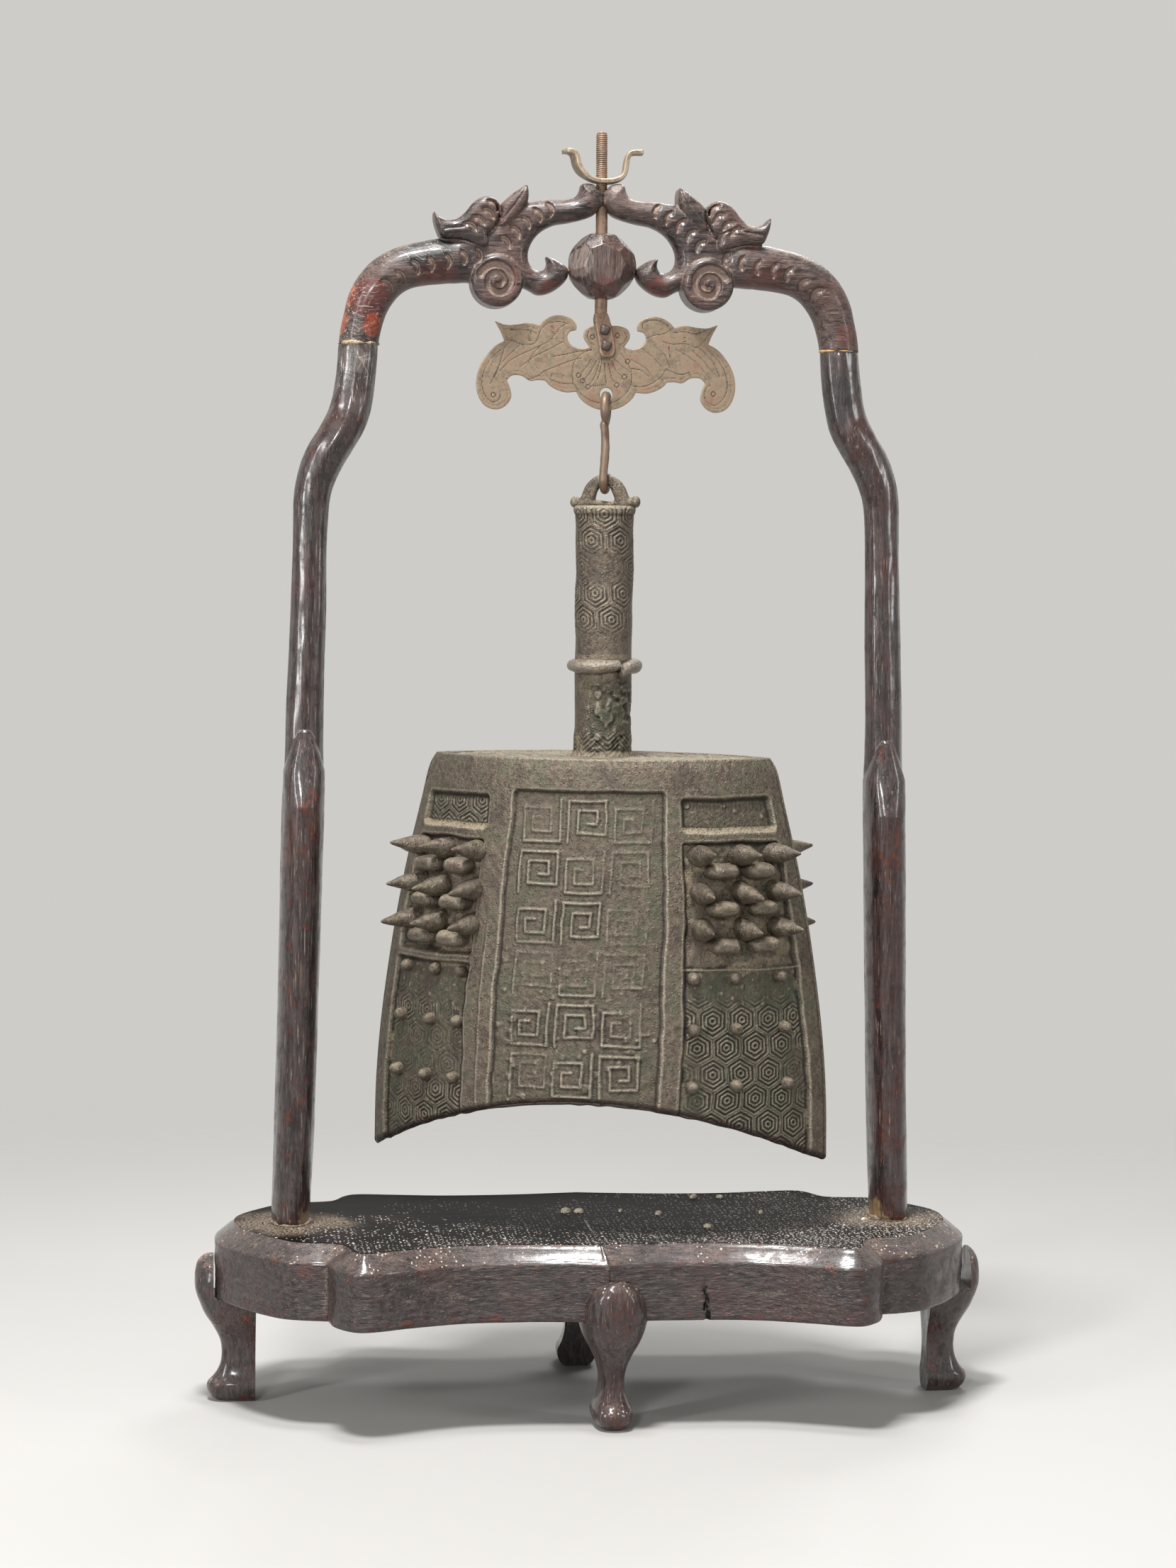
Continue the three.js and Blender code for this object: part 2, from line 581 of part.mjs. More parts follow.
// Hook: one wire. Its ring goes through the plaque and its foot turns up under the bell's loop.
const ringTop = plaqueHoleHeight - plaqueHoleDiameter / 2 + ringClearance + hookWire / 2;
const ringCentre = ringTop - hookRingRadius;
const hookTip = 0.35;           // radians that the foot turns up past level
const ringTurns = 16;
const ringCurve = new THREE.CatmullRomCurve3(Array.from({ length: ringTurns }, (_, i) => {
  const turn = 2 * Math.PI * i / ringTurns;
  return v3(0, Math.sin(turn) * hookRingRadius, ringCentre + Math.cos(turn) * hookRingRadius);
}), true);
const footPoints = [];
const footSteps = 7;
for (let i = 0; i <= footSteps; i++) {
  const turn = Math.PI + i / footSteps * (Math.PI + hookTip);
  footPoints.push(v3(0, Math.cos(turn) * hookFootRadius,
    loopBarCentre + Math.sin(turn) * hookFootRadius));
}
const shankLow = mix(loopBarCentre, ringCentre - hookRingRadius, 0.4);
const hookLine = new THREE.CatmullRomCurve3([
  v3(0, 0, ringCentre - hookRingRadius + hookWire * 0.2),
  v3(0, -hookFootRadius * 0.35, mix(shankLow, ringCentre - hookRingRadius, 0.6)),
  v3(0, -hookFootRadius, shankLow),
  ...footPoints,
]);
const ring = solid(bar(ringCurve, hookWire, 24));
const wire = solid(bar(hookLine, hookWire, 22));
add('suspension_hook', geometryOf(joined(ring, wire)), iron, hung);

// Loop: a bow with two horn lugs, brazed to the top of the shank
const bowShares = [[1, 0], [0.98, 0.2], [0.84, 0.62], [0.46, 0.94]];
const bowPlace = ([x, z], way) => v3(way * x * (loopWidth - loopBar * 1.2) / 2, 0,
  mix(loopFoot + loopPlate / 2, loopBarCentre, z));
const bowCurve = new THREE.CatmullRomCurve3([
  ...bowShares.map((share) => bowPlace(share, -1)),
  v3(0, 0, loopBarCentre),
  ...bowShares.map((share) => bowPlace(share, 1)).reverse(),
]);
const hornShares = [            // half the span, and the height on the plate
  [0.62, 0], [0.9, 0.12], [1, 0.42], [0.96, 1], [0.78, 0.92], [0.6, plateShare],
];
const hornEdge = (way) => hornShares.map(([x, z]) => v2(
  way * x * loopHornSpan / 2, loopFoot + z * loopPlate));
const hornPlate = new THREE.Shape([...hornEdge(1), ...hornEdge(-1).reverse()]);
const bow = joined(solid(bar(bowCurve, loopBar, 18)), solid(slab(hornPlate, loopDepth * 1.25)));
add('suspension_loop', geometryOf(bow), bronze, hung);

// Bell: a lens-shaped shell between two arched faces, flaring to the mouth, cast in one with its
// shank, collar, bosses and relief
function halfWidthAt(z) {
  const down = Math.min(Math.max((bellTopHeight - z) / bellHeight, 0), 1);
  const i = flareShares.findIndex(([share], k) => k > 0 && down <= share);
  const [[a, wide], [b, wider]] = [flareShares[i - 1], flareShares[i]];
  return bellTopHalfWidth * mix(wide, wider, (down - a) / (b - a));
}
const faceSine = Math.sin(bellFaceAngle * degrees);
const faceCosine = Math.cos(bellFaceAngle * degrees);

// A point on the front face, a share of the half width across, and the way it faces
function onFace(across, z, sink = 0) {
  const radius = halfWidthAt(z) / faceSine;
  const turn = Math.asin(across * faceSine);
  const out = radius - sink;
  return {
    place: v3(out * Math.sin(turn), -(out * Math.cos(turn) - radius * faceCosine), z),
    outward: v3(Math.sin(turn), -Math.cos(turn), 0),
  };
}
const faceSteps = 12;
const bluntShare = 0.985;       // the side edges are blunt
function lens(z, wall) {
  const ring = [];
  for (const face of [1, -1]) {
    for (let i = 0; i <= faceSteps; i++) {
      const across = mix(-bluntShare, bluntShare, i / faceSteps);
      const radius = (halfWidthAt(z) - wall) / faceSine;
      const turn = Math.asin(across * faceSine);
      const deep = radius * Math.cos(turn) - (halfWidthAt(z) / faceSine - wall * 0.3) * faceCosine;
      ring.push(v3(face * radius * Math.sin(turn), -face * deep, z));
    }
  }
  return ring;
}
const mouthFloor = bellTipHeight - overrun;
const levels = flareShares.map(([share]) => bellTopHeight - share * bellHeight).reverse();
const outer = solid(loft(levels.map((z) => lens(z, 0))));
const hollowLevels = levels.filter((z) => z < bellTopHeight - bellTopPlate);
const inner = solid(loft([
  ...[mouthFloor, ...hollowLevels].map((z) => lens(z, bellWall)),
  lens(bellTopHeight - bellTopPlate, bellWall),
]));

// The mouth is cut by a shallow barrel that runs from front to back
const mouthRadius = (halfWidthAt(bellTipHeight) ** 2 + bellMouthRise ** 2) / (2 * bellMouthRise);
const mouthBarrel = new THREE.CylinderGeometry(mouthRadius, mouthRadius, bellHeight, 96);
mouthBarrel.translate(0, 0, bellTipHeight + bellMouthRise - mouthRadius);

// A patch of the face between two heights, as a slab about the surface. Each edge is a pair of
// shares across, at the top of the bell and at its tips.
const acrossAt = ([top, tips], z) => mix(top, tips, (bellTopHeight - z) / bellHeight);
function patch(left, right, low, high, sink, proud) {
  const columns = 4;
  const between = levels.filter((z) => z > low && z < high);
  const rings = [low, ...between, high].map((z) => {
    const ring = [];
    const across = (i) => mix(acrossAt(left, z), acrossAt(right, z), i / columns);
    for (let i = 0; i <= columns; i++) ring.push(onFace(across(i), z, -proud).place);
    for (let i = columns; i >= 0; i--) ring.push(onFace(across(i), z, sink).place);
    return ring;
  });
  return solid(loft(rings));
}
const panelEdgeShares = [[-0.4, -0.4], [0.43, 0.316]];
const sideZoneShares = [        // inner edge and rim, left and then right
  [[-0.53, -0.53], [-0.93, -0.93]],
  [[0.5, 0.4], [0.93, 0.93]],
];
const panelTop = bellTopHeight - bellHeight * 0.075;
const cellTop = bellTopHeight - bellHeight * 0.09;
const cellBottom = bellTopHeight - bellHeight * 0.18;
const bossZoneTop = bellTopHeight - bellHeight * 0.2;
const bossZoneBottom = bellTopHeight - bellHeight * 0.495;
const lowerTop = bellTopHeight - bellHeight * 0.51;
const bossRowShares = [0.235, 0.325, 0.415];
const bossColumnShares = [0.56, 0.72, 0.875];
const bossLiftShare = 0.08;     // the bosses point a little upwards
const nippleRowShares = [0.535, 0.66, 0.8];
const nippleColumnShares = [0.1, 0.45, 0.84]; // between the inner edge and the rim
const barDrop = bellHeight * 0.045;

// Something turned about its own length, rooted in the face and pointing the way the face looks
const rooted = panelSink + overrun / 4;
function onto(geometry, across, z, lift = 0) {
  const { place, outward } = onFace(across, z, rooted);
  outward.z = lift;
  const turn = new THREE.Quaternion().setFromUnitVectors(v3(0, 1, 0), outward.normalize());
  return solid(geometry.clone().applyQuaternion(turn).translate(place.x, place.y, place.z));
}
const bossShares = [[1, 0], [1, 0.06], [0.93, 0.3], [0.68, 0.62], [0.3, 0.9], [0, 1]];
const boss = new THREE.LatheGeometry([v2(0, 0), ...bossShares.map(([radius, up]) => v2(
  radius * bossDiameter / 2,
  up * (bossLength + rooted),
))], 7);
const nipple = new THREE.LatheGeometry([[0, 0], [1, 0], [0.95, 0.55], [0.55, 0.92], [0, 1]].map(
  ([radius, up]) => v2(radius * nippleDiameter / 2, up * (nippleLength + rooted))), 6);
function relief(across, z) {
  const { place, outward } = onFace(across, z, rooted);
  const turn = Math.atan2(outward.x, -outward.y);
  const body = new THREE.CapsuleGeometry(barHeight / 2, barLength - barHeight, 1, 6);
  body.rotateZ(Math.PI / 2).scale(1, (rooted + barProud) / (barHeight / 2), 1);
  return solid(body.rotateZ(turn).translate(place.x, place.y, place.z));
}

const raised = [];
const sunk = [];
sideZoneShares.forEach(([inner, rim], i) => {
  const way = i === 0 ? -1 : 1;
  const zone = way < 0 ? [rim, inner] : [inner, rim];
  sunk.push(patch(...zone, cellBottom, cellTop, panelSink, overrun));
  sunk.push(patch(...zone, bossZoneBottom, bossZoneTop, panelSink, overrun));
  sunk.push(patch(...zone, bellTipHeight - overrun, lowerTop, panelSink, overrun));
  for (const down of bossRowShares) {
    const z = bellTopHeight - down * bellHeight;
    for (const across of bossColumnShares) raised.push(onto(boss, way * across, z, bossLiftShare));
    for (let k = 0; k < bossColumnShares.length - 1; k++) {
      const across = (bossColumnShares[k] + bossColumnShares[k + 1]) / 2;
      raised.push(relief(way * across, z - barDrop));
    }
  }
  for (const down of nippleRowShares) {
    const z = bellTopHeight - down * bellHeight;
    for (const share of nippleColumnShares) {
      raised.push(onto(nipple, mix(acrossAt(inner, z), acrossAt(rim, z), share), z));
    }
  }
});
sunk.push(patch(...panelEdgeShares, bellTipHeight - overrun, panelTop, panelSink, overrun));
const bothFaces = (bodies) => bodies.flatMap((body) => [body, body.rotate([0, 0, 180])]);

// Shank: a hollow stem on the top plate, open to the inside of the bell, with a rolled collar
const collarHeight = shankTopHeight - collarDrop;
const shankShape = [v2(0, bellTopHeight - bellTopPlate / 2),
  v2(shankRadius * 1.06, bellTopHeight - bellTopPlate / 2), v2(shankRadius, bellTopHeight + overrun),
  v2(shankRadius, collarHeight - collarThickness / 2),
  v2(shankRadius + collarProud * 0.8, collarHeight - collarThickness * 0.35),
  v2(shankRadius + collarProud, collarHeight),
  v2(shankRadius + collarProud * 0.8, collarHeight + collarThickness * 0.35),
  v2(shankRadius, collarHeight + collarThickness / 2),
  v2(shankRadius, shankTopHeight - overrun), v2(shankRadius * 1.04, shankTopHeight - overrun / 2),
  v2(shankRadius, shankTopHeight), v2(0, shankTopHeight)];
const shank = solid(new THREE.LatheGeometry(shankShape, 24).rotateX(Math.PI / 2));
const shankHollow = solid(upright(shankBore, bellTopHeight - bellTopPlate - overrun,
  shankTopHeight - bellTopPlate, 0, 0, 14));
const shell = cut(outer, ...bothFaces(sunk));
const cast = joined(shell, shank, ...bothFaces(raised));
const casting = cut(cast, inner, solid(mouthBarrel), shankHollow);
add('bell_casting', geometryOf(casting), bronze, hung);

export default part;
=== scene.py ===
import math

import bpy
import numpy as np
from mathutils import Matrix, Vector


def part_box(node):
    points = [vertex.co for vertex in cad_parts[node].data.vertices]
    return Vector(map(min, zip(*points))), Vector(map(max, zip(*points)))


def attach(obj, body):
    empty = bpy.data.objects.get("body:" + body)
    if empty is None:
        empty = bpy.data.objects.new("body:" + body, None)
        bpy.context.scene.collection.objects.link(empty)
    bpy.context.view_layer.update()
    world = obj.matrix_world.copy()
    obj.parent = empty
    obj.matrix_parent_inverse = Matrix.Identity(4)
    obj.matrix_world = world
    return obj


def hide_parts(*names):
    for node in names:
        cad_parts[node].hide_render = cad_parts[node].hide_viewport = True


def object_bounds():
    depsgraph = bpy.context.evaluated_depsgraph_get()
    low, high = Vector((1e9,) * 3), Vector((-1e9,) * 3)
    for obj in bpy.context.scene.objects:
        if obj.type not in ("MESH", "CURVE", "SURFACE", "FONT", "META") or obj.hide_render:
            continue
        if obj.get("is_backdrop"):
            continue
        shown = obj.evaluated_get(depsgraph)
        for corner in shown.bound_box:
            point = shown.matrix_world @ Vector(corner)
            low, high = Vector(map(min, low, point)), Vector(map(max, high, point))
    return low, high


# The frame holds the bell and its stand as they are built, in metres, with the front along -Y.
# The camera stands where the photograph was taken, a little to the left and above the middle.
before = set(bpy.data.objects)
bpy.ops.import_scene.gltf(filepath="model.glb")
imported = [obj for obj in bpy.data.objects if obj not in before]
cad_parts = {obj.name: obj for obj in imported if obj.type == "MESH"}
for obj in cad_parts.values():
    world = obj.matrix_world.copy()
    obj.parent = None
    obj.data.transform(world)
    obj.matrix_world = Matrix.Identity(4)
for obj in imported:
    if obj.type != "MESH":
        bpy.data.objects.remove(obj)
cad_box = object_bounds()
mm = 0.001
camera_distance = 1872.7 * mm
camera_height = 439 * mm
camera_right = -4.16 * mm
camera_azimuth = math.radians(-6.315)
camera_down = math.radians(3.441)
camera_roll = math.radians(0.603)
long_side = 36
focal_share = 5000 / 2212  # focal length over the height of the picture


def placed(name, data):
    """A new object in the scene."""
    made = bpy.data.objects.new(name, data)
    bpy.context.scene.collection.objects.link(made)
    return made


camera_data = bpy.data.cameras.new("camera")
camera_data.sensor_fit = "AUTO"
camera_data.sensor_width = long_side
camera_data.lens = long_side * focal_share
camera = placed("camera", camera_data)
turned = Matrix.Rotation(camera_azimuth, 4, "Z")
stand_point = turned @ Vector((camera_right, -camera_distance, camera_height))
tilted = Matrix.Rotation(math.pi / 2 - camera_down, 4, "X") @ Matrix.Rotation(camera_roll, 4, "Z")
camera.matrix_world = Matrix.Translation(stand_point) @ turned @ tilted
bpy.context.scene.camera = camera
bpy.context.scene.view_settings.view_transform = "Standard"


# Materials are graphs of nodes. A Reading is a number that varies over a surface, and sums on it
# add Math nodes. A Finish is one material, and its node method makes every other kind of node.
class Reading:
    def __init__(self, finish, socket):
        self.finish = finish
        self.socket = socket

    def sum(self, operation, first, second):
        return self.finish.node("Math", {"operation": operation}, {0: first, 1: second})

    def __add__(self, other):
        return self.sum("ADD", self, other)

    def __radd__(self, other):
        return self.sum("ADD", other, self)

    def __sub__(self, other):
        return self.sum("SUBTRACT", self, other)

    def __rsub__(self, other):
        return self.sum("SUBTRACT", other, self)

    def __mul__(self, other):
        return self.sum("MULTIPLY", self, other)

    def __rmul__(self, other):
        return self.sum("MULTIPLY", other, self)

    def __truediv__(self, other):
        return self.sum("DIVIDE", self, other)

    def between(self, low, high):
        """0 up to low, 1 from high on, and a smooth slope between them."""
        return self.finish.node("MapRange", {"interpolation_type": "SMOOTHSTEP"}, {
            "Value": self, "From Min": low, "From Max": high})


class Finish:
    def __init__(self, name):
        self.material = bpy.data.materials.new(name)
        self.material.use_nodes = True
        self.tree = self.material.node_tree
        self.tree.nodes.clear()
        self.place = self.node("TexCoord", {}, {}, "Object")
        self.shade = paint(0, 0, 0)

    def node(self, kind, settings, sockets, out=0):
        made = self.tree.nodes.new("ShaderNode" + kind)
        for key, value in settings.items():
            setattr(made, key, value)
        for key, value in sockets.items():
            if isinstance(value, Reading):
                self.tree.links.new(value.socket, made.inputs[key])
            else:
                made.inputs[key].default_value = value
        return Reading(self, made.outputs[out])

    def at(self, stretch=(1, 1, 1), shift=(0, 0, 0)):
        """The place on the object in millimetres, stretched for a pattern that runs one way."""
        scaled = self.node("VectorMath", {"operation": "MULTIPLY"}, {
            0: self.place, 1: tuple(value / mm for value in stretch)})
        return self.node("VectorMath", {"operation": "ADD"}, {0: scaled, 1: shift})

    def noise(self, size, detail=3, stretch=(1, 1, 1), shift=(0, 0, 0), rough=0.55):
        """A cloudy number about 0.5, with patches of a size in millimetres."""
        return self.node("TexNoise", {}, {
            "Vector": self.at(stretch, shift), "Scale": 1 / size, "Detail": detail, "Roughness": rough})

    def cells(self, size, shift, feature="F1", out="Distance", dimensions="3D"):
        """The distance to the nearest of scattered points, or another output of such a pattern."""
        return self.node("TexVoronoi", {"feature": feature, "voronoi_dimensions": dimensions}, {
            "Vector": self.at(shift=shift), "Scale": 1 / size}, out)

    def away(self, middle):
        """How far the place on the object lies from a point, both in millimetres."""
        return self.node("VectorMath", {"operation": "DISTANCE"}, {0: self.at(), 1: middle}, "Value")

    def mark(self, name):
        """A number that the mesh carries at each of its points."""
        return self.node("Attribute", {"attribute_name": name}, {}, "Fac")

    def colour(self, first, second, share):
        """The first colour, and the second over it where the share is 1."""
        return self.node("Mix", {"data_type": "RGBA", "blend_type": "MIX"}, {
            0: share, 6: first, 7: second}, 2)

    def lay(self, colour, share):
        """Lays a colour over the finish's shade, where the share is 1."""
        self.shade = self.colour(self.shade, colour, share)

    def upward(self):
        """1 where the surface looks up, -1 where it looks down."""
        normal = self.node("NewGeometry", {}, {}, "Normal")
        return self.node("SeparateXYZ", {}, {0: normal}, "Z")

    def coordinate(self, axis):
        """One coordinate of the place on the object, in millimetres."""
        return self.node("SeparateXYZ", {}, {0: self.at()}, axis)

    def done(self, colour, roughness, height, depth, **sockets):
        """Ends the material. The bump's height is 0 to 1 and its depth is in millimetres."""
        sockets = {key.replace("_", " "): value for key, value in sockets.items()}
        bump = self.node("Bump", {}, {"Height": height, "Strength": 1.0, "Distance": depth * mm})
        sockets.update({"Base Color": colour, "Roughness": roughness, "Normal": bump})
        self.node_end(self.node("BsdfPrincipled", {}, sockets))
        return self.material

    def node_end(self, shader):
        end = self.tree.nodes.new("ShaderNodeOutputMaterial")
        self.tree.links.new(shader.socket, end.inputs["Surface"])


def paint(red, green, blue):
    """A colour written as the eye sees it, 0 to 255, for a shader."""
    def linear(value):
        share = value / 255
        return share / 12.92 if share <= 0.04045 else ((share + 0.055) / 1.055) ** 2.4
    return (linear(red), linear(green), linear(blue), 1)


# Room: the floor is a pale matt sheet that fades into the pale room, so no horizon shows.
# Six soft boxes light the stand: two above it, one in front, one behind and one at each side.
floor_radius = 6.0
floor_sides = 64
floor_fade_from = 0.38
floor_fade_to = 1.25
room_colour = paint(206, 204, 200)
floor_colour = paint(186, 184, 181)
room_level = 0.15  # how strongly the room lights the stand; it is seen at its full strength
bell_middle = (0, 0, 0.34)
soft_boxes = [  # name, place, what it points at, width, height, watts
    ("box_above", (-0.3, -0.62, 2.0), bell_middle, 0.34, 0.26, 44),
    ("box_front", (-0.75, -2.1, 1.05), bell_middle, 0.26, 0.26, 15),
    ("box_top", (-0.1, -0.12, 2.1), (0, 0, 0.1), 0.5, 0.26, 16),
    ("box_left", (-1.4, -1.1, 0.75), bell_middle, 0.12, 0.9, 12),
    ("box_right", (1.5, -1.0, 0.8), bell_middle, 0.14, 0.9, 6),
    ("box_behind", (0.7, 1.7, 1.9), bell_middle, 0.8, 0.5, 15),
]

floor_ring = [(floor_radius * math.cos(2 * math.pi * i / floor_sides),
               floor_radius * math.sin(2 * math.pi * i / floor_sides), 0) for i in range(floor_sides)]
floor_mesh = bpy.data.meshes.new("floor")
floor_mesh.from_pydata(floor_ring, [], [list(range(floor_sides))])
floor = placed("floor", floor_mesh)
floor_finish = Finish("floor_sheet")
floor_span = floor_finish.node("VectorMath", {"operation": "LENGTH"}, {0: floor_finish.place}, "Value")
floor_shader = floor_finish.node("BsdfPrincipled", {}, {"Base Color": floor_colour, "Roughness": 0.6})
floor_clear = floor_finish.node("BsdfTransparent", {}, {})
floor_share = floor_span.between(floor_fade_from, floor_fade_to)
floor_finish.node_end(floor_finish.node("MixShader", {}, {0: floor_share, 1: floor_shader, 2: floor_clear}))
floor_mesh.materials.append(floor_finish.material)
floor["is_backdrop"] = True

room = bpy.data.worlds.new("room")
bpy.context.scene.world = room
room.use_nodes = True
room.node_tree.nodes.clear()


def room_node(kind, sockets):
    made = room.node_tree.nodes.new("ShaderNode" + kind)
    for key, value in sockets.items():
        if isinstance(value, bpy.types.NodeSocket):
            room.node_tree.links.new(value, made.inputs[key])
        else:
            made.inputs[key].default_value = value
    return made


rays = room_node("LightPath", {})
seen = room_node("Math", {0: rays.outputs["Is Camera Ray"], 1: rays.outputs["Is Glossy Ray"]})
seen_too = room_node("Math", {0: seen.outputs[0], 1: rays.outputs["Is Transmission Ray"]})
seen_too.use_clamp = True
lit_room = room_node("Background", {"Color": room_colour, "Strength": room_level})
seen_room = room_node("Background", {"Color": room_colour, "Strength": 1.0})
both = room_node("MixShader", {0: seen_too.outputs[0], 1: lit_room.outputs[0], 2: seen_room.outputs[0]})
room_node("OutputWorld", {"Surface": both.outputs[0]})

for name, place, aim, width, height, power in soft_boxes:
    lamp = bpy.data.lights.new(name, "AREA")
    lamp.shape = "RECTANGLE"
    lamp.size = width
    lamp.size_y = height
    lamp.energy = power
    way = (Vector(aim) - Vector(place)).to_track_quat("-Z", "Y")
    placed(name, lamp).matrix_world = Matrix.Translation(Vector(place)) @ way.to_matrix().to_4x4()


# Base board: one plank of dark hardwood, sawn to four scalloped lobes with a wide chamfer, adzed
# on its sides and lacquered black on top. It has shrunk: a crack shows right of the front foot.
board_low, board_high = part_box("base_board")
board_half = board_high.x
board_front_shares = [  # of half the length and of the reach, the front right quarter
    (0, 0.815), (0.1, 0.8), (0.2, 0.797), (0.375, 0.82), (0.5, 0.9), (0.6, 0.985), (0.64, 0.99),
    (0.67, 0.955), (0.7, 0.87), (0.716, 0.73),
]
board_back_shares = [
    (0, 1), (0.2, 0.935), (0.375, 0.925), (0.5, 0.965), (0.6, 0.995), (0.655, 0.96), (0.695, 0.85),
    (0.713, 0.745),
]
board_end_front_shares = [(0.716, 0.72), (0.77, 0.7), (0.83, 0.65), (0.92, 0.44), (0.985, 0.2), (1, 0)]
board_end_back_shares = [(0.715, 0.74), (0.77, 0.73), (0.83, 0.7), (0.92, 0.48), (0.985, 0.23), (1, 0)]
board_middle_step_share = 0.02  # the left half of the front stands this much proud of the right
board_front_reach = -board_low.y / 0.99
board_back_reach = board_high.y
chamfer_drop = 8.5 * mm
chamfer_width = 10.5 * mm
outline_step = 0.9 * mm
crack_place = 49.5 * mm
crack_width = 1.25 * mm
crack_depth = 3.5 * mm
crack_low = board_low.z
crack_high = board_low.z + 21 * mm
lacquer_reach = 1.6 * mm  # how far below the board's highest point the black lacquer goes on
dish_depth = 0.9  # of the top's hollow, in mm
dish_end = 142 * mm
dish_slope = 20 * mm


def held(value):
    """A number kept between 0 and 1."""
    return np.clip(value, 0, 1)


def ring_angles(count):
    return 2 * math.pi * np.arange(count) / count


def smooth_line(points, spans=8):
    """A centripetal Catmull-Rom line through points of any dimension, both ends included."""
    points = np.asarray(points, float)
    before = 2 * points[0] - points[1]
    after = 2 * points[-1] - points[-2]
    row = np.vstack([before, points, after])
    line = []
    for a, b, c, d in zip(row, row[1:], row[2:], row[3:]):
        t1 = max(np.linalg.norm(b - a), 1e-9) ** 0.5
        t2 = t1 + max(np.linalg.norm(c - b), 1e-9) ** 0.5
        t3 = t2 + max(np.linalg.norm(d - c), 1e-9) ** 0.5
        t = np.linspace(t1, t2, spans, endpoint=False)[:, None]
        ab = (t1 - t) / t1 * a + t / t1 * b
        bc = (t2 - t) / (t2 - t1) * b + (t - t1) / (t2 - t1) * c
        cd = (t3 - t) / (t3 - t2) * c + (t - t2) / (t3 - t2) * d
        abc = (t2 - t) / t2 * ab + t / t2 * bc
        bcd = (t3 - t) / (t3 - t1) * bc + (t - t1) / (t3 - t1) * cd
        line.append((t2 - t) / (t2 - t1) * abc + (t - t1) / (t2 - t1) * bcd)
    return np.vstack([*line, points[-1:]])


def evenly(line, step, closed=False):
    """The same line with its points an even step apart."""
    if closed:
        line = np.vstack([line, line[:1]])
    lengths = np.concatenate([[0], np.cumsum(np.linalg.norm(np.diff(line, axis=0), axis=1))])
    count = max(int(round(lengths[-1] / step)), 2)
    at = np.linspace(0, lengths[-1], count + 1)
    spaced = np.stack([np.interp(at, lengths, line[:, k]) for k in range(line.shape[1])], axis=1)
    return spaced[:-1] if closed else spaced


def clouds(points, size, seed=0):
    """Smooth random numbers, -1 to 1, at places in metres, with lumps of a size in millimetres."""
    count = 32
    table = np.random.default_rng(seed + 100).uniform(-1, 1, (count, count, count))
    place = np.asarray(points) / (size * mm) + 1000
    low = np.floor(place).astype(int)
    share = place - low
    share = share * share * (3 - 2 * share)
    total = 0
    for corner in np.ndindex(2, 2, 2):
        at = (low + corner) % count
        weight = np.where(corner, share, 1 - share).prod(axis=-1)
        total = total + weight * table[at[..., 0], at[..., 1], at[..., 2]]
    return total


def skin(rows, low_end=True, high_end=True):
    """Points and faces of a surface over rings of points, with a fan at each closed end."""
    rows = np.asarray(rows, float)
    count, across = rows.shape[:2]
    index = np.arange(count * across).reshape(count, across)
    beside = np.roll(index, -1, axis=1)
    faces = np.stack([index[:-1], beside[:-1], beside[1:], index[1:]], axis=-1).reshape(-1, 4).tolist()
    points = rows.reshape(-1, 3).tolist()
    for wanted, row, order in ((low_end, 0, 1), (high_end, count - 1, -1)):
        if wanted:
            points.append(rows[row].mean(axis=0).tolist())
            hub = len(points) - 1
            faces += [[a, b, hub][::order] for a, b in zip(beside[row].tolist(), index[row].tolist())]
    return points, faces


def gather(parts):
    """The points and faces of several surfaces as one."""
    points, faces = [], []
    for more_points, more_faces in parts:
        start = len(points)
        points += list(more_points)
        faces += [[index + start for index in face] for face in more_faces]
    return points, faces


def set_mark(mesh, name, values):
    """Gives each point of a mesh a number for the mark of that name."""
    mesh.attributes.new(name, "FLOAT", "POINT").data.foreach_set("value", values.astype(np.float32))


def mark_relief(mesh, rounds):
    """Marks how far each point stands proud of its neighbourhood, in millimetres: edges wear there, and dust
    stays where it is negative. On bronze and bare metal the proud edges also carry a painted highlight, and
    the sunk places painted shade."""
    count = len(mesh.vertices)
    places = np.empty(count * 3)
    mesh.vertices.foreach_get("co", places)
    places = places.reshape(-1, 3)
    edges = np.empty(len(mesh.edges) * 2, np.int64)
    mesh.edges.foreach_get("vertices", edges)
    first, second = edges[0::2], edges[1::2]
    normals = np.empty(count * 3)
    mesh.vertices.foreach_get("normal", normals)
    degree = np.maximum(np.bincount(first, minlength=count) + np.bincount(second, minlength=count), 1)
    soft = places.copy()
    for _ in range(rounds):
        total = np.zeros_like(soft)
        for k in range(3):
            total[:, k] += np.bincount(first, soft[second, k], count)
            total[:, k] += np.bincount(second, soft[first, k], count)
        soft = total / degree[:, None]
    proud = ((places - soft) * normals.reshape(-1, 3)).sum(axis=1) / mm
    set_mark(mesh, "proud", proud)


def make(name, points, faces, material, body, slot, nodes=(), rounds=6, marks=None, sharp=None):
    """One piece of the bell or its stand, standing for its nodes and riding on its body."""
    mesh = bpy.data.meshes.new(name)
    mesh.from_pydata(points, [], faces)
    mesh.validate()
    mesh.shade_smooth()
    if sharp:
        mesh.set_sharp_from_angle(angle=math.radians(sharp))
    mark_relief(mesh, rounds)
    for key, values in (marks or {}).items():
        set_mark(mesh, key, np.resize(values, len(mesh.vertices)))
    mesh.materials.append(material)
    piece = placed(name, mesh)
    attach(piece, body)
    if nodes:
        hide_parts(*nodes)
    return piece


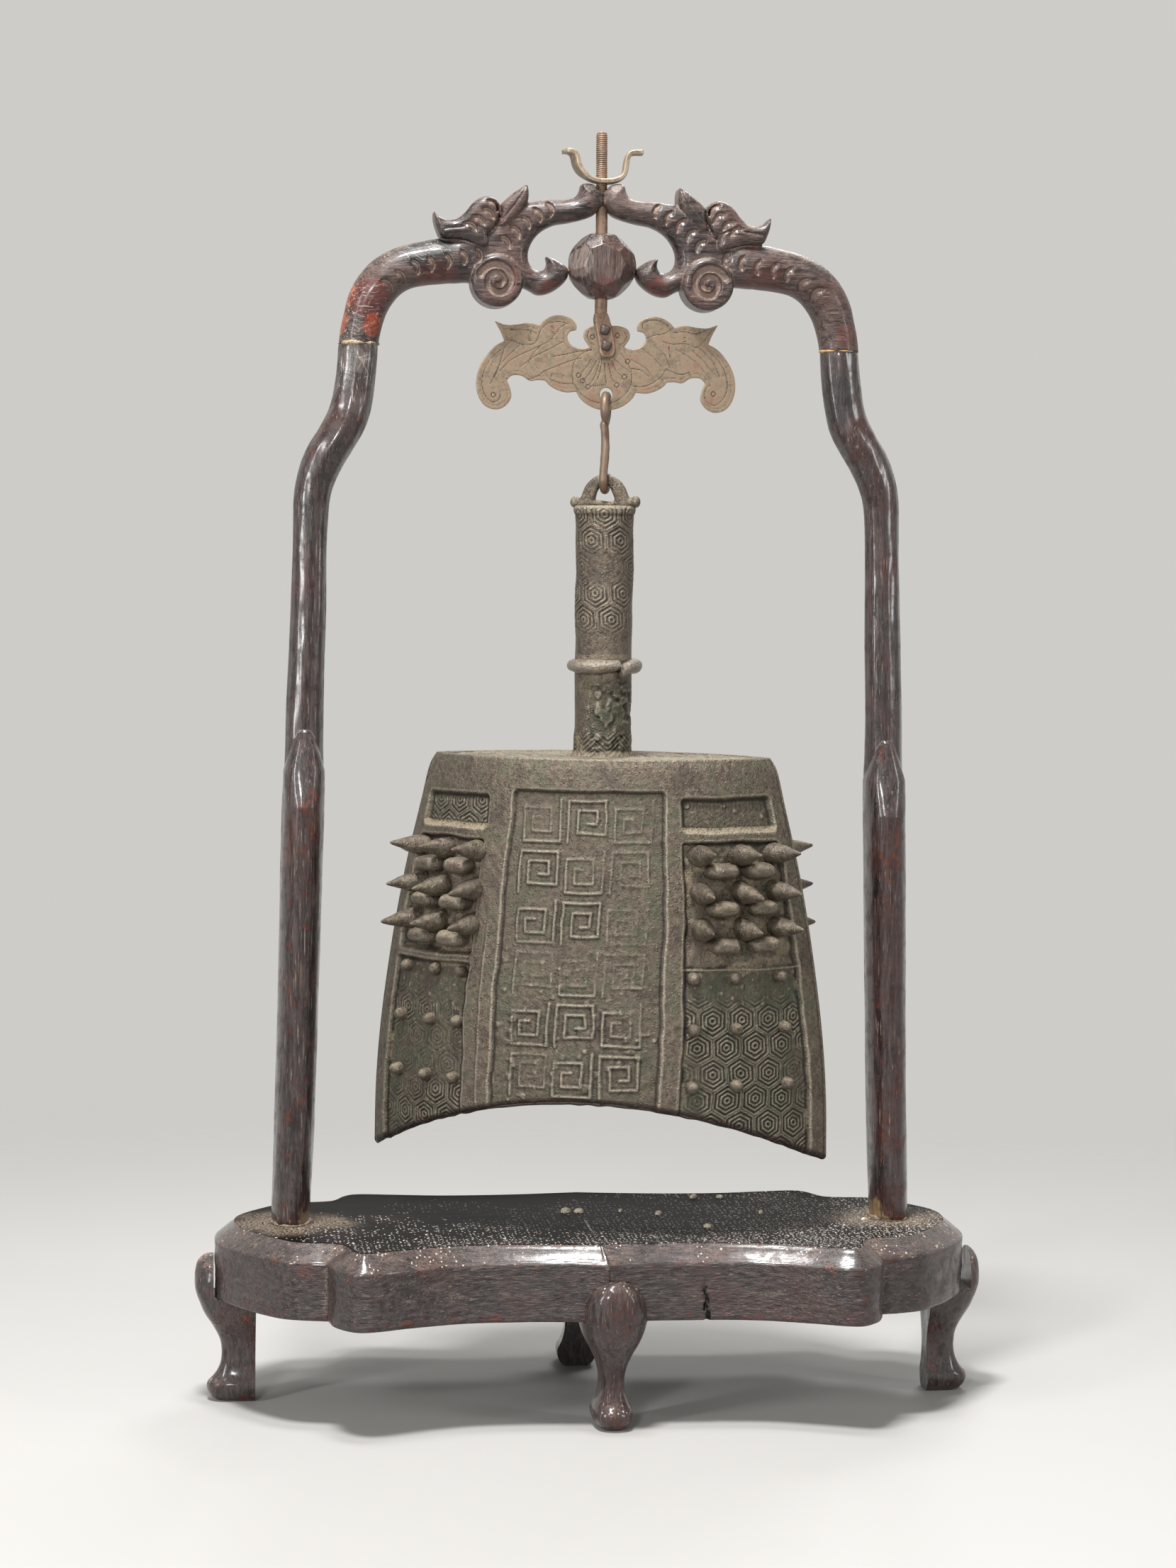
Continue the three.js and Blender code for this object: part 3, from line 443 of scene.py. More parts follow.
def strewn(finish, lie):
    """White specks of dust in four sizes on what faces up, more of them where it lies thick."""
    found = 0
    for size, reach, share in ((2.2, 0.2, 1.0), (3.4, 0.17, 0.9), (6.5, 0.11, 0.8), (13, 0.07, 0.9)):
        shift = (size, 1, 0)
        any_colour = finish.cells(size, shift, out="Color", dimensions="2D")
        pick = finish.node("SeparateColor", {}, {0: any_colour}, 0)
        dot = 1 - finish.cells(size, shift, dimensions="2D").between(reach * 0.6, reach)
        found = dot * (lie * share - pick).between(0, 0.08) + found
    return found.between(0, 1) * finish.upward().between(0.4, 0.7)


def hardwood(name, along, dust=0.5, red=0.5, gloss=0.5, patches=(), crinkle=0.1, faded=0.3, crazed=(),
             depth=0.4, strewn_on=0):
    """Dark hardwood under old lacquer: grain along one axis, red wear on the edges, pale dust.
    A patch has a middle and a reach in mm, a colour and a strength. Fine cracks cover what is crazed."""
    wood = Finish(name)
    long_way = lambda share: tuple(share if k == along else 1.0 for k in range(3))
    grain = wood.noise(2.0, 6, long_way(crinkle), rough=0.6)
    pores = wood.noise(0.6, 3, long_way(0.1), (3, 7, 1))
    scratch = wood.noise(0.9, 4, long_way(0.07), (5, 3, 9), rough=0.7)
    broad = wood.noise(30, 4, shift=(9, 2, 5))
    worn = wood.noise(8, 6, shift=(4, 8, 2), rough=0.65)
    proud = wood.mark("proud")
    wood.shade = wood.colour(paint(21, 15, 16), paint(70, 55, 53), grain.between(0.36, 0.68))
    pale = (worn * 0.35 + broad * 0.7).between(0.4, 0.64) * grain.between(0.3, 0.55)
    wood.lay(paint(118, 98, 90), pale * faded)
    wood.lay(paint(62, 31, 27), broad.between(0.48, 0.7) * 0.7)
    wood.lay(paint(13, 10, 11), pores.between(0.53, 0.66) * 0.75)
    wood.lay(paint(156, 140, 128), scratch.between(0.57, 0.68) * 0.55)
    edges = proud.between(0.06, 0.32) * worn.between(0.6 - 0.16 * red, 0.7 - 0.08 * red)
    wood.lay(paint(100, 50, 36), edges * 0.7)
    chips = edges * pores.between(0.5, 0.6) * broad.between(0.52, 0.62)
    wood.lay(paint(170, 92, 50), chips * red * 1.3)
    ragged = (worn - 0.5) * 1.3 + (scratch - 0.5) * 0.6
    for middle, reach, shade, strength in patches:
        spot = 1 - (wood.away(middle) / reach + ragged).between(0.78, 0.9)
        wood.lay(shade, spot * (grain * 0.6 + pores * 0.4).between(0.3, 0.56) * strength)
    seams = 0
    for middle, reach in crazed:
        seams = (1 - (wood.away(middle) / reach + ragged).between(0.7, 0.9)) + seams
    if crazed:
        line = 1 - wood.cells(7, (1, 1, 1), "DISTANCE_TO_EDGE").between(0.008, 0.02)
        line = line * grain.between(0.46, 0.6) * seams.between(0, 1)
        flecks = scratch.between(0.56, 0.66) * seams.between(0, 1)
        wood.lay(paint(190, 182, 172), line * 0.6 + flecks * 0.6)
    cut = wood.mark("cut")
    wood.lay(paint(150, 126, 114), cut.between(0.1, 0.6) * (0.35 + worn * 0.4))
    hollow = (0 - proud).between(0.04, 0.24)
    lies = wood.upward().between(0.25, 0.95) * worn.between(0.4, 0.7)
    powder = (hollow * 0.8 * dust + lies * dust) * wood.noise(0.9, 3).between(0.4, 0.6)
    wood.lay(paint(172, 156, 142), powder * 0.75)
    wood.lay(paint(8, 6, 6), wood.mark("crack").between(0.1, 0.5))
    if strewn_on:
        specks = strewn(wood, strewn_on + (broad - 0.5) * 1.2)
        wood.lay(paint(214, 206, 194), specks * 0.9)
    rough = 0.4 - 0.17 * gloss + grain * 0.16 + powder * 0.3 + cut * 0.2
    height = grain * (0.5 + 2.2 * crinkle) + pores * 0.3 + scratch * 0.3 + worn * 0.5
    film = (1 - worn.between(0.46, 0.62) * 0.75) * (1 - scratch.between(0.5, 0.64))
    film = film * (1 - powder.between(0, 1))
    return wood.done(wood.shade, rough, height, depth, Coat_Weight=film * (0.75 * gloss),
                     Coat_Roughness=0.15, Specular_IOR_Level=0.36)


crumb_sink = 0.6
crumb_growth = 1.25
crumbs = [  # of dirt on the top of the board, in mm, and how far each reaches
    (-11.6, 19.9, 1.9), (-4.4, 19.5, 1.7), (63.2, 59.4, 1.6), (77.8, 58.7, 1.3), (37.6, 11.0, 1.5),
    (58.6, -27.3, 1.4), (18.0, 20.5, 1.0), (93.3, 12.3, 1.2), (145.1, -13.4, 1.3),
]


def black_lacquer(name):
    """The top of the board: black lacquer under white specks of dust, thickest in front and right,
    with earth swept up against the posts."""
    gloss = Finish(name)
    broad = gloss.noise(30, 4, shift=(2, 2, 2))
    grain = gloss.noise(3, 5, (0.1, 1, 1))
    lie = 0.34 + gloss.coordinate("X") / 600 - gloss.coordinate("Y") / 330 + (broad - 0.5) * 1.1
    brown = (grain * 0.5 + broad * 0.6).between(0.5, 0.75)
    gloss.shade = gloss.colour(paint(13, 11, 11), paint(40, 31, 30), brown)
    specks = strewn(gloss, lie)
    gloss.lay(paint(214, 208, 198), specks * 0.95)
    film = lie.between(0.35, 0.9) * gloss.noise(1.3, 3).between(0.45, 0.62) * 0.3
    gloss.lay(paint(120, 112, 106), film)
    for side in (-1, 1):
        foot_of_post = (side * (board_half / mm - 40), -8, board_high.z / mm)
        swept = 1 - (gloss.away(foot_of_post) / 44 + (broad - 0.5) * 1.2).between(0.4, 0.95)
        swept = swept * gloss.noise(1.2, 4).between(0.42, 0.56)
        gloss.lay(paint(150, 134, 116), swept * 0.75)
    rough = 0.34 + specks * 0.4 + film + grain * 0.1
    return gloss.done(gloss.shade, rough, grain * 0.5 + broad, 0.15, Specular_IOR_Level=0.02)


def board_outline():
    """Half the board from the middle of the front round the right end, then the left half."""
    def placed(shares, side, reach):
        return [(side * x * board_half, y * reach) for x, y in shares]
    runs = []
    for side in (1, -1):
        lift = board_middle_step_share if side < 0 else 0
        front_shares = [(x, y + lift * max(0, 1 - 5 * x)) for x, y in board_front_shares]
        front = smooth_line(placed(front_shares, side, -board_front_reach))
        end = smooth_line(placed(board_end_front_shares, side, -board_front_reach)
                          + placed(board_end_back_shares, side, board_back_reach)[-2::-1])
        back = smooth_line(placed(board_back_shares, side, board_back_reach)[::-1])
        half = np.vstack([front, end, back])
        runs.append(half if side > 0 else half[::-1])
    return evenly(np.vstack([runs[0], runs[1][1:]]), outline_step, closed=True)


def inward_of(outline, reach=5):
    """The way in at each point of a closed counterclockwise outline."""
    ahead = np.roll(outline, -reach, axis=0) - np.roll(outline, reach, axis=0)
    inward = np.stack([-ahead[:, 1], ahead[:, 0]], axis=1)
    return inward / np.linalg.norm(inward, axis=1)[:, None]


outline = board_outline()
inward = inward_of(outline)
side_foot = board_low.z
side_top = board_high.z - chamfer_drop
board_levels = [  # height, and how far in from the outline, in mm
    (side_foot, 1.4), (side_foot + 0.5 * mm, 0.4), (side_foot + 1.6 * mm, 0),
]
board_levels += [(z, 0) for z in np.arange(side_foot + 3 * mm, side_top - 1.5 * mm, 1.4 * mm)]
board_levels += [(side_top - 0.7 * mm, 0.15), (side_top + 0.3 * mm, 0.8)]
chamfer_steps = 7
for i in range(1, chamfer_steps):
    share = i / chamfer_steps
    swell = math.sin(share * math.pi) * 0.9
    inset = share * chamfer_width / mm - swell * 0.5 + 0.5
    board_levels.append((side_top + share * chamfer_drop - 0.2 * mm, inset))
board_levels += [(board_high.z - 0.25 * mm, chamfer_width / mm - 0.1),
                 (board_high.z, chamfer_width / mm + 0.9)]
rows = []
for z, inset in board_levels:
    ring = outline + inward * inset * mm
    rows.append(np.column_stack([ring, np.full(len(ring), z)]))
rows = np.array(rows)
away = np.column_stack([-inward, np.zeros(len(inward))])
side_share = held((side_top - rows[..., 2]) / (6 * mm)) * 0.8 + 0.2
adzed = (clouds(rows * [1, 1, 2.2], 13, 1) * 0.5
         + clouds(rows * [0.5, 0.5, 2.5], 4, 2) * 0.22)
rows += away[None] * ((adzed - 0.45) * side_share * mm)[..., None]
rows[..., 1] = np.maximum(rows[..., 1], board_low.y)
crack_line = crack_place + 1.6 * mm * (crack_high - rows[..., 2]) / (crack_high - crack_low)
crack_line += 0.7 * mm * np.sin(rows[..., 2] / (1.3 * mm)) + 0.5 * mm * np.sin(rows[..., 2] / (0.5 * mm))
rise = held((crack_high - rows[..., 2]) / (crack_high - crack_low))
in_crack = held(1.2 - np.abs(rows[..., 0] - crack_line) / (crack_width * (0.35 + 0.65 * rise)))
in_crack *= (rows[..., 1] < 0) * held(rise * 4)
rows -= away[None] * (in_crack * crack_depth)[..., None]
top_ring = rows[-1]
even_reach = 18
even_y = sum(np.roll(top_ring[:, 1], k) for k in range(-even_reach, even_reach + 1)) / (2 * even_reach + 1)
top_rows = []
for share in [0.985, 0.96, 0.93, 0.89, 0.84, 0.78, 0.7, 0.6, 0.48, 0.34, 0.18, 0.0]:
    ring = top_ring.copy()
    kept = held((share - 0.86) / 0.12)
    ring[:, 1] = share * (kept * ring[:, 1] + (1 - kept) * even_y)
    middle = held((dish_end - np.abs(ring[:, 0])) / dish_slope)
    dish = (1 - share ** 8) * dish_depth * middle + clouds(ring, 45, 3) * 0.15
    ring[:, 2] -= np.maximum(dish, 0.02) * mm
    top_rows.append(ring)
under_ring = rows[0]
under_rows = [under_ring * [1, share, 1] for share in (0.0, 0.5)]
board_rows = np.concatenate([under_rows, rows, top_rows])
tan_smear = paint(150, 134, 104)
board_patches = [((93, board_low.y / mm, 76), 9, tan_smear, 0.5),
                 ((-150, -60, 84), 16, paint(92, 40, 30), 0.5),
                 ((-40, board_low.y / mm, 62), 10, paint(128, 58, 40), 0.5)]
board_wood = hardwood("board_wood", 0, 0.5, 0.5, 0.8, board_patches, crinkle=0.34, faded=0.15, depth=1.5)
edge_wood = hardwood("polished_edge", 0, 0.4, 0.4, 1.35, crinkle=0.2, faded=0.4, depth=0.8, strewn_on=0.12)
board_points, board_faces = skin(board_rows, low_end=False, high_end=False)
board_crack = np.concatenate([np.zeros((2, rows.shape[1])), in_crack,
                              np.zeros((len(top_rows), rows.shape[1]))]).ravel()
board = make("board", board_points, board_faces, board_wood, "stand", "hardwood", ["base_board"],
             marks={"crack": board_crack, "cut": 0.0})
board.data.materials.append(black_lacquer("black_lacquer"))
board.data.materials.append(edge_wood)
for face in board.data.polygons:
    if face.center.z > board_high.z - lacquer_reach and face.normal.z > 0.93:
        face.material_index = 1
    elif face.center.z > side_top - 0.3 * mm:
        face.material_index = 2


def lump(middle, reach, seed):
    """A rough lump of dirt, in mm, on what it lies on."""
    turns = ring_angles(10)
    rows = []
    for share, rise in ((0.75, -0.5), (1.0, 0.0), (0.9, 0.5), (0.6, 0.85), (0.15, 1.0)):
        size = share * reach * (1 + 0.3 * np.sin(2 * turns + seed) + 0.15 * np.sin(5 * turns + seed * 3))
        rows.append(np.array(middle) + np.stack([size * np.cos(turns), size * np.sin(turns),
                                                 0 * turns + rise * reach], axis=-1))
    return skin(np.array(rows) * mm)


dirt = Finish("dirt")
dirt_grit = dirt.noise(0.8, 4)
dirt_colour = dirt.colour(paint(232, 224, 206), paint(176, 158, 130), dirt_grit.between(0.4, 0.65))
dirt_look = dirt.done(dirt_colour, 0.9, dirt_grit, 0.4)
lumps = [lump((across, back, board_high.z / mm - crumb_sink), reach * crumb_growth, across)
         for across, back, reach in crumbs]
make("crumbs", *gather(lumps), dirt_look, "stand", "hardwood")

# Feet: four cabriole feet of the same wood, each with a round knee that laps the side of the
# board, a thin ankle and a turned pad. Their inner faces are sawn flat, and glued and dowelled to it.
foot_shares = [  # height, width of the knee width, reach of the knee reach
    (0, 0.34, 0.56), (0.02, 0.47, 0.68), (0.055, 0.565, 0.755), (0.09, 0.6, 0.78), (0.12, 0.595, 0.765),
    (0.15, 0.53, 0.7), (0.2, 0.44, 0.62), (0.26, 0.38, 0.565), (0.32, 0.365, 0.55), (0.4, 0.43, 0.57),
    (0.5, 0.62, 0.68), (0.6, 0.84, 0.84), (0.7, 0.97, 0.95), (0.77, 1, 1), (0.84, 0.97, 1),
    (0.9, 0.86, 0.985), (0.95, 0.67, 0.94), (0.98, 0.46, 0.875), (0.995, 0.24, 0.82),
]
foot_inset = 22 * mm
foot_rows = 78
foot_across = 52
foot_round = 0.62
foot_turns = {"front": -90, "back": 90, "left": 180, "right": 0}
foot_patches = [((7, board_low.y / mm, 60), 13, paint(64, 26, 20), 0.8),
                ((8, board_low.y / mm - 3, 67), 3.5, paint(204, 116, 60), 1.0),
                ((-6, board_low.y / mm - 2, 46), 9, paint(116, 104, 94), 0.45)]
foot_wood = hardwood("foot_wood", 2, 0.7, 0.5, 1.1, foot_patches, crinkle=0.22, faded=0.12, depth=0.9,
                     strewn_on=0.3)


def foot(name, turn):
    """Built as the right foot would stand, then turned to its side of the board."""
    low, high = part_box(f"foot_{name}")
    back = Matrix.Rotation(math.radians(-turn), 3, "Z")
    near, far = back @ low, back @ high
    inner = min(near.x, far.x)
    reach = max(near.x, far.x) - inner
    middle = (near.y + far.y) / 2
    width = abs(far.y - near.y)
    height = high.z - low.z
    share = smooth_line(foot_shares, 10)
    ledge = (board_low.z - 0.3 * mm - low.z) / height
    levels = np.sort(np.append(np.linspace(0, 0.995, foot_rows), [ledge - 0.001, ledge + 0.001]))
    widths = np.interp(levels, share[:, 0], share[:, 1]) * width / 2
    reaches = np.interp(levels, share[:, 0], share[:, 2]) * reach
    rings = []
    for level, half, out in zip(levels, widths, reaches):
        start = inner + (foot_inset + 0.3 * mm if level > ledge else 0)
        most = math.acos(min((start - inner) / out, 1) ** (1 / foot_round))
        angles = np.linspace(-most, most, foot_across)
        ridge = 1 + 0.03 * np.exp(-(angles / 0.16) ** 2) * np.exp(-((level - 0.11) / 0.05) ** 2)
        x = inner + out * np.abs(np.cos(angles)) ** foot_round * ridge * 0.992
        y = middle + half * np.sign(angles) * np.abs(np.sin(angles)) ** foot_round
        z = np.full(foot_across, low.z + level * height)
        flat = np.linspace(y[-1], y[0], 12)[1:-1]
        backs = np.column_stack([np.full(10, start), flat, z[:10]])
        rings.append(np.vstack([np.column_stack([x, y, z]), backs]))
    rings = np.array(rings)
    lean = held((rings[..., 0] - inner - foot_inset) / (8 * mm))
    tooled = clouds(rings * [1, 1, 0.5], 9, turn) * 0.35 + clouds(rings, 3.5, turn + 1) * 0.1
    rings[..., 0] -= (0.3 + tooled) * lean * mm
    cross = np.array(Matrix.Rotation(math.radians(turn), 3, "Z"))
    points, faces = skin(rings @ cross.T)
    make(f"cabriole_{name}", points, faces, foot_wood, "stand", "hardwood", [f"foot_{name}"], sharp=50)


for name, turn in foot_turns.items():
    foot(name, turn)


# Posts: one length of the same wood each side, tenoned into the board. Up to the knuckle a strip in
# front makes it deep, and ends there in a bevelled tongue. Above, a round stem bends in to the arch.
dowel_low, dowel_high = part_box("arch_dowel_right")
arch_reach = (dowel_low.x + dowel_high.x) / 2
joint_height = (dowel_low.z + dowel_high.z) / 2
board_end = 40 * mm
post_foot = board_half - board_end
post_bend = post_foot - arch_reach
lower_depth = 30 * mm
stem_width = 19.6 * mm
knuckle_height = board_high.z + 242 * mm
tongue_tip = 17 * mm  # above the knuckle
tongue_full = -22 * mm  # and from here down the strip has its whole depth
strip_proud = lower_depth - stem_width
post_stem_shares = [  # height above the board over the knuckle's, bend, width
    (-0.1, 0, 0.98), (0, 0, 0.98), (0.15, 0.04, 1.02), (0.4, 0.09, 1.04), (0.8, 0.15, 1.08),
    (0.96, 0.175, 1.07), (1.03, 0.18, 1.02), (1.12, 0.185, 1),
]
post_upper_shares = [  # height between knuckle and joint, bend, width
    (0.3, 0.22, 0.97), (0.56, 0.26, 0.92), (0.65, 0.3, 0.99), (0.71, 0.43, 1.14), (0.755, 0.58, 1.24),
    (0.8, 0.75, 1.22), (0.85, 0.88, 1.1), (0.92, 0.955, 1.06), (1, 1, 1.05), (1.05, 1.01, 1.05),
]
knuckle_rise = knuckle_height - board_high.z
upper_rise = joint_height - knuckle_height
post_line = [(board_high.z + z * knuckle_rise, post_foot - bend * post_bend, width * stem_width)
             for z, bend, width in post_stem_shares]
post_line += [(knuckle_height + z * upper_rise, post_foot - bend * post_bend, width * stem_width)
              for z, bend, width in post_upper_shares]
post_curve = smooth_line(post_line, 12)
post_sides = 112
old_glue = paint(150, 122, 84)
filler = paint(176, 158, 128)


def post(name, side, tip_drop):
    """One post with the glue at its foot and the filler at its joint. The side is -1 or 1, and the
    tip of the tongue may lie lower on one side."""
    fine = np.arange(knuckle_height - 45 * mm, knuckle_height + 28 * mm, 0.6 * mm)
    levels = np.concatenate([
        np.arange(board_high.z + 0.1 * mm, fine[0], 2.2 * mm), fine,
        np.arange(fine[-1] + 1 * mm, joint_height - 1.2 * mm, 2.0 * mm),
        [joint_height - 0.9 * mm, joint_height - 0.4 * mm, joint_height - 0.2 * mm]])
    x = np.interp(levels, post_curve[:, 0], post_curve[:, 1])
    width = np.interp(levels, post_curve[:, 0], post_curve[:, 2])
    angles = ring_angles(post_sides)
    across, ahead = np.cos(angles)[None], np.sin(angles)[None]
    half = (width / 2)[:, None]
    stem = half * (1 + 0.015 * np.cos(8 * angles))[None]
    down = (knuckle_height + tongue_tip - tip_drop - levels) / (tongue_tip - tongue_full)
    slope = held(down)
    forward = np.where(down > 0, (1.3 * mm + slope ** 0.9 * (strip_proud - 1.3 * mm)), 0)[:, None]
    ledge = held(down * 1.9) ** 0.6
    strip_half = (np.where(down > 0, 2.4 * mm + ledge * (width / 2 * 1.06 - 2.4 * mm), 0))[:, None]
    reach = half + forward
    power = (3.4 - 1.1 * slope)[:, None]
    strip = (np.abs(across / np.maximum(strip_half, 1e-6)) ** power
             + np.abs(ahead / reach) ** power) ** (-1 / power)
    radius = np.where((ahead < 0) & (strip_half > 0), np.maximum(stem, strip), stem)
    deep = levels < knuckle_height + tongue_full
    back = (np.abs(across / half) ** 2.6 + np.abs(ahead / half) ** 2.6) ** (-1 / 2.6)
    radius = np.where((ahead >= 0) & deep[:, None], np.maximum(radius, back * 0.99), radius)
    end = held((joint_height - levels) / (1.6 * mm))
    radius = radius * (0.955 + 0.045 * end ** 0.5)[:, None]
    shape = np.stack([x[:, None] + radius * across, radius * ahead,
                      np.repeat(levels[:, None], post_sides, axis=1)], axis=-1)
    shape[..., 0] *= side
    lumps = clouds(shape * [1, 1, 0.3], 7, side + 3) * 0.22
    lumps += clouds(shape * [1, 1, 0.16], 2.4, side + 5) * 0.1
    outward = np.stack([side * np.repeat(across, len(levels), 0), np.repeat(ahead, len(levels), 0)], -1)
    shape[..., :2] += outward * ((lumps - 0.1) * mm)[..., None]
    points, faces = skin(shape[:, ::side])
    foot_z, knuckle_z, joint_z = board_high.z / mm, knuckle_height / mm, joint_height / mm
    patches = [
        ((side * (post_foot - 0.1 * post_bend) / mm, -8, foot_z), 13, old_glue, 0.75),
        ((side * arch_reach / mm, 0, joint_z + 2), 8.5, filler, 0.5),
    ]
    if side < 0:
        patches += [((-arch_reach / mm - 3, -9, joint_z - 8), 9, paint(150, 140, 130), 0.25),
                    ((-arch_reach / mm + 4, -9, joint_z - 32), 10, paint(92, 84, 80), 0.35),
                    ((-post_foot / mm - 6, -8, knuckle_z - 40), 18, paint(90, 44, 34), 0.4)]
    else:
        patches += [((arch_reach / mm - 5, -9, joint_z - 26), 16, paint(22, 19, 20), 0.85),
                    ((post_foot / mm - 6, -10, knuckle_z - 120), 36, paint(70, 36, 30), 0.2)]
    crazed = [((-arch_reach / mm, -9, joint_z - 16), 17)] if side < 0 else []
    wood = hardwood(f"post_wood_{name}", 2, 0.3, 0.3, 1.25, patches, faded=0.05, crazed=crazed, depth=0.5)
    make(f"carved_post_{name}", points, faces, wood, "stand", "hardwood", [f"post_{name}"])
    bead(f"glue_foot_{name}", shape[0][::-side] + [0, 0, 0.2 * mm], 1.7,
         (paint(132, 118, 102), paint(92, 76, 64)), 5 - side)
    top = shape[-3][::-side].copy()
    top[:, 2] = joint_height
    filled = (filler, paint(108, 92, 76)) if side < 0 else (paint(196, 150, 84), paint(150, 138, 120))
    bead(f"filler_{name}", top, 0.85 - 0.2 * side, filled, 9 - side)


def bead(name, path, thick, colours, seed):
    """Old glue or filler squeezed out round a joint, along a closed path."""
    inward = path.mean(axis=0) - path
    out = -inward / np.linalg.norm(inward, axis=1)[:, None]
    swell = np.clip(0.55 + 1.1 * clouds(path, 3.2, seed) + 0.5 * clouds(path, 11, seed + 1), 0.05, 1.6)
    turns = ring_angles(10)
    size = (thick * mm * swell)[:, None, None]
    way = np.cos(turns)[None, :, None] * out[:, None] + np.sin(turns)[None, :, None] * [0, 0, 1]
    rows = path[:, None] + size * way
    points, faces = skin(np.concatenate([rows, rows[:1]]), low_end=False, high_end=False)
    glue = Finish(name)
    grit = glue.noise(1.1, 5)
    look = glue.done(glue.colour(*colours, grit.between(0.4, 0.62)), 0.6, grit, 0.3)
    make(name, points, faces, look, "stand", "hardwood")


post("left", -1, 0)
post("right", 1, 4 * mm)


# Arch: two dragons of the same wood, each carved with the bend that is dowelled to its post. They
# meet at the crest, hold the pearl between the curls of their tails, and carry gouged scales and a
# spiral at the shoulder.
_, arch_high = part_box("arch_right")
limb_line = [  # height above the joint, across and width of the bend, in mm
    (0, 127, 20.6), (6, 126.2, 20.8), (13, 124.6, 21), (21, 122.2, 22), (28, 118.4, 22.6),
    (34.5, 112.6, 22.6), (39.5, 104, 22.4), (42, 94, 22.8), (43.5, 84, 23.6), (44.5, 75, 23),
]
crest_top = 85.3
body_outline = [  # across, above the joint, 1 at a corner
    (84, 54), (75, 56), (62, 60), (54, 68), (46, 74), (39.5, 75, 1), (33, 75.6),
    (27.5, 76.4), (19.5, 76.6), (15, 77.8), (12.7, 80.5), (11.6, 84.4, 1), (9.5, 85.3),
    (5, 84.8), (2, 82.5), (-1, 80, 1), (-1, 73.5, 1), (1, 73), (4.5, 69), (10.5, 66.5),
    (18, 64.6), (26, 63), (33, 59), (37.5, 53), (39, 47.5), (38, 42.6),
    (34.4, 39.7), (31, 39.7), (29.2, 42.5), (29.8, 46.8, 1), (28, 46.6), (25, 45.8),
    (21.5, 43.8), (18.2, 41), (17.6, 38), (19, 34.5), (23.5, 30.2), (29, 27.4),
    (34, 26.9), (39, 29.4), (44, 31), (56, 28), (70, 32.5), (80, 33), (86, 40),
    (87, 50),
]
head_outline = [
    (88.6, 69, 1), (85.4, 66), (81.5, 64.5), (78, 64.6), (75, 66.2), (72, 69),
    (69, 72.8), (65.5, 75.7), (61.5, 77), (57.5, 76.3), (54.6, 73.6, 1), (54.3, 68.5),
    (56.4, 61.5), (60, 57.3), (59.4, 54.2), (60, 51.2), (63, 49.8), (68, 51.8),
    (75, 54.2), (84.3, 55.2), (87, 60), (88.4, 65),
]
ear_outline = [
    (54.4, 72.6, 1), (49, 77.6), (44.5, 81), (40, 83.8, 1), (39.3, 80), (39.6, 75),
    (41.7, 70.5), (44.6, 66.3), (49, 62.6), (53, 60.6), (55.6, 61.6, 1), (54.2, 67),
]
jaw_line = [(60, 57.6), (63.6, 60.2), (69, 61.6), (76, 60.4), (83, 59.6)]
ear_rib = [(53, 65), (48, 71), (43, 78), (41, 82)]
nick_places = [  # across, above the joint, the way it bulges in degrees
    (112.6, 30.4, 128), (105.3, 34.9, 140), (97.4, 39.9, 155), (89.6, 41.4, 168), (81.1, 42.9, 172),
    (72.7, 45.1, 170), (64.6, 46.6, 168), (50.7, 54, 140), (45.6, 59.2, 142), (40, 64.2, 148),
    (33.8, 68.2, 155), (27.6, 71.2, 165), (69.6, 61.6, 118), (65, 64.8, 124), (60, 68.4, 130),
    (57.6, 72.4, 140),
]
nick_radius = 4.9
nick_fade = 3.7
nick_depth = 2.3
scroll_middle = (55.4, 33.4)
scroll_radius = 13.6
spiral_turns = 1.7
spiral_outer = 9.4
spiral_inner = 2.2
groove_depth = 2.4
body_half = 9.2
head_half = 11.6
rod_hole_radius = 3.6
joint_gap = 0.15  # between a face and the face that it meets, from their middle
carve_step = 0.5 * mm


def run_of(points, spans=8):
    """A closed outline, smooth but for the corners, which are the points with a third number."""
    first = next((i for i, p in enumerate(points) if len(p) > 2), 0)
    points = points[first:] + points[:first]
    corners = [0] + [i for i, p in enumerate(points) if len(p) > 2 and i] + [len(points)]
    points.append(points[0])
    runs = [smooth_line([p[:2] for p in points[a:b + 1]], spans)[:-1]
            for a, b in zip(corners, corners[1:])]
    return np.vstack(runs)


def distances(xs, zs, line, closed=False):
    """How far the points of a flat grid lie from a line, and how far along it, 0 to 1."""
    line = np.asarray(line, float)
    ends = np.vstack([line[1:], line[:1]]) if closed else line[1:]
    x, z = np.meshgrid(xs, zs, indexing="ij")
    best = np.full(x.shape, np.inf)
    along = np.zeros(x.shape)
    for i, (a, b) in enumerate(zip(line, ends)):
        way = b - a
        share = held(((x - a[0]) * way[0] + (z - a[1]) * way[1]) / max(way @ way, 1e-12))
        away = np.hypot(x - a[0] - share * way[0], z - a[1] - share * way[1])
        closer = away < best
        best = np.where(closer, away, best)
        along = np.where(closer, (i + share) / len(ends), along)
    return best, along


def inside_of(xs, zs, line):
    """Signed distance to a closed outline on a flat grid, negative inside."""
    x, z = np.meshgrid(xs, zs, indexing="ij")
    inside = np.zeros(x.shape, bool)
    for a, b in zip(line, np.roll(line, -1, axis=0)):
        crosses = (a[1] > z) != (b[1] > z)
        at = a[0] + (z - a[1]) / (b[1] - a[1] if b[1] != a[1] else 1e-12) * (b[0] - a[0])
        inside ^= crosses & (x < at)
    away, _ = distances(xs, zs, line, closed=True)
    return np.where(inside, -away, away)


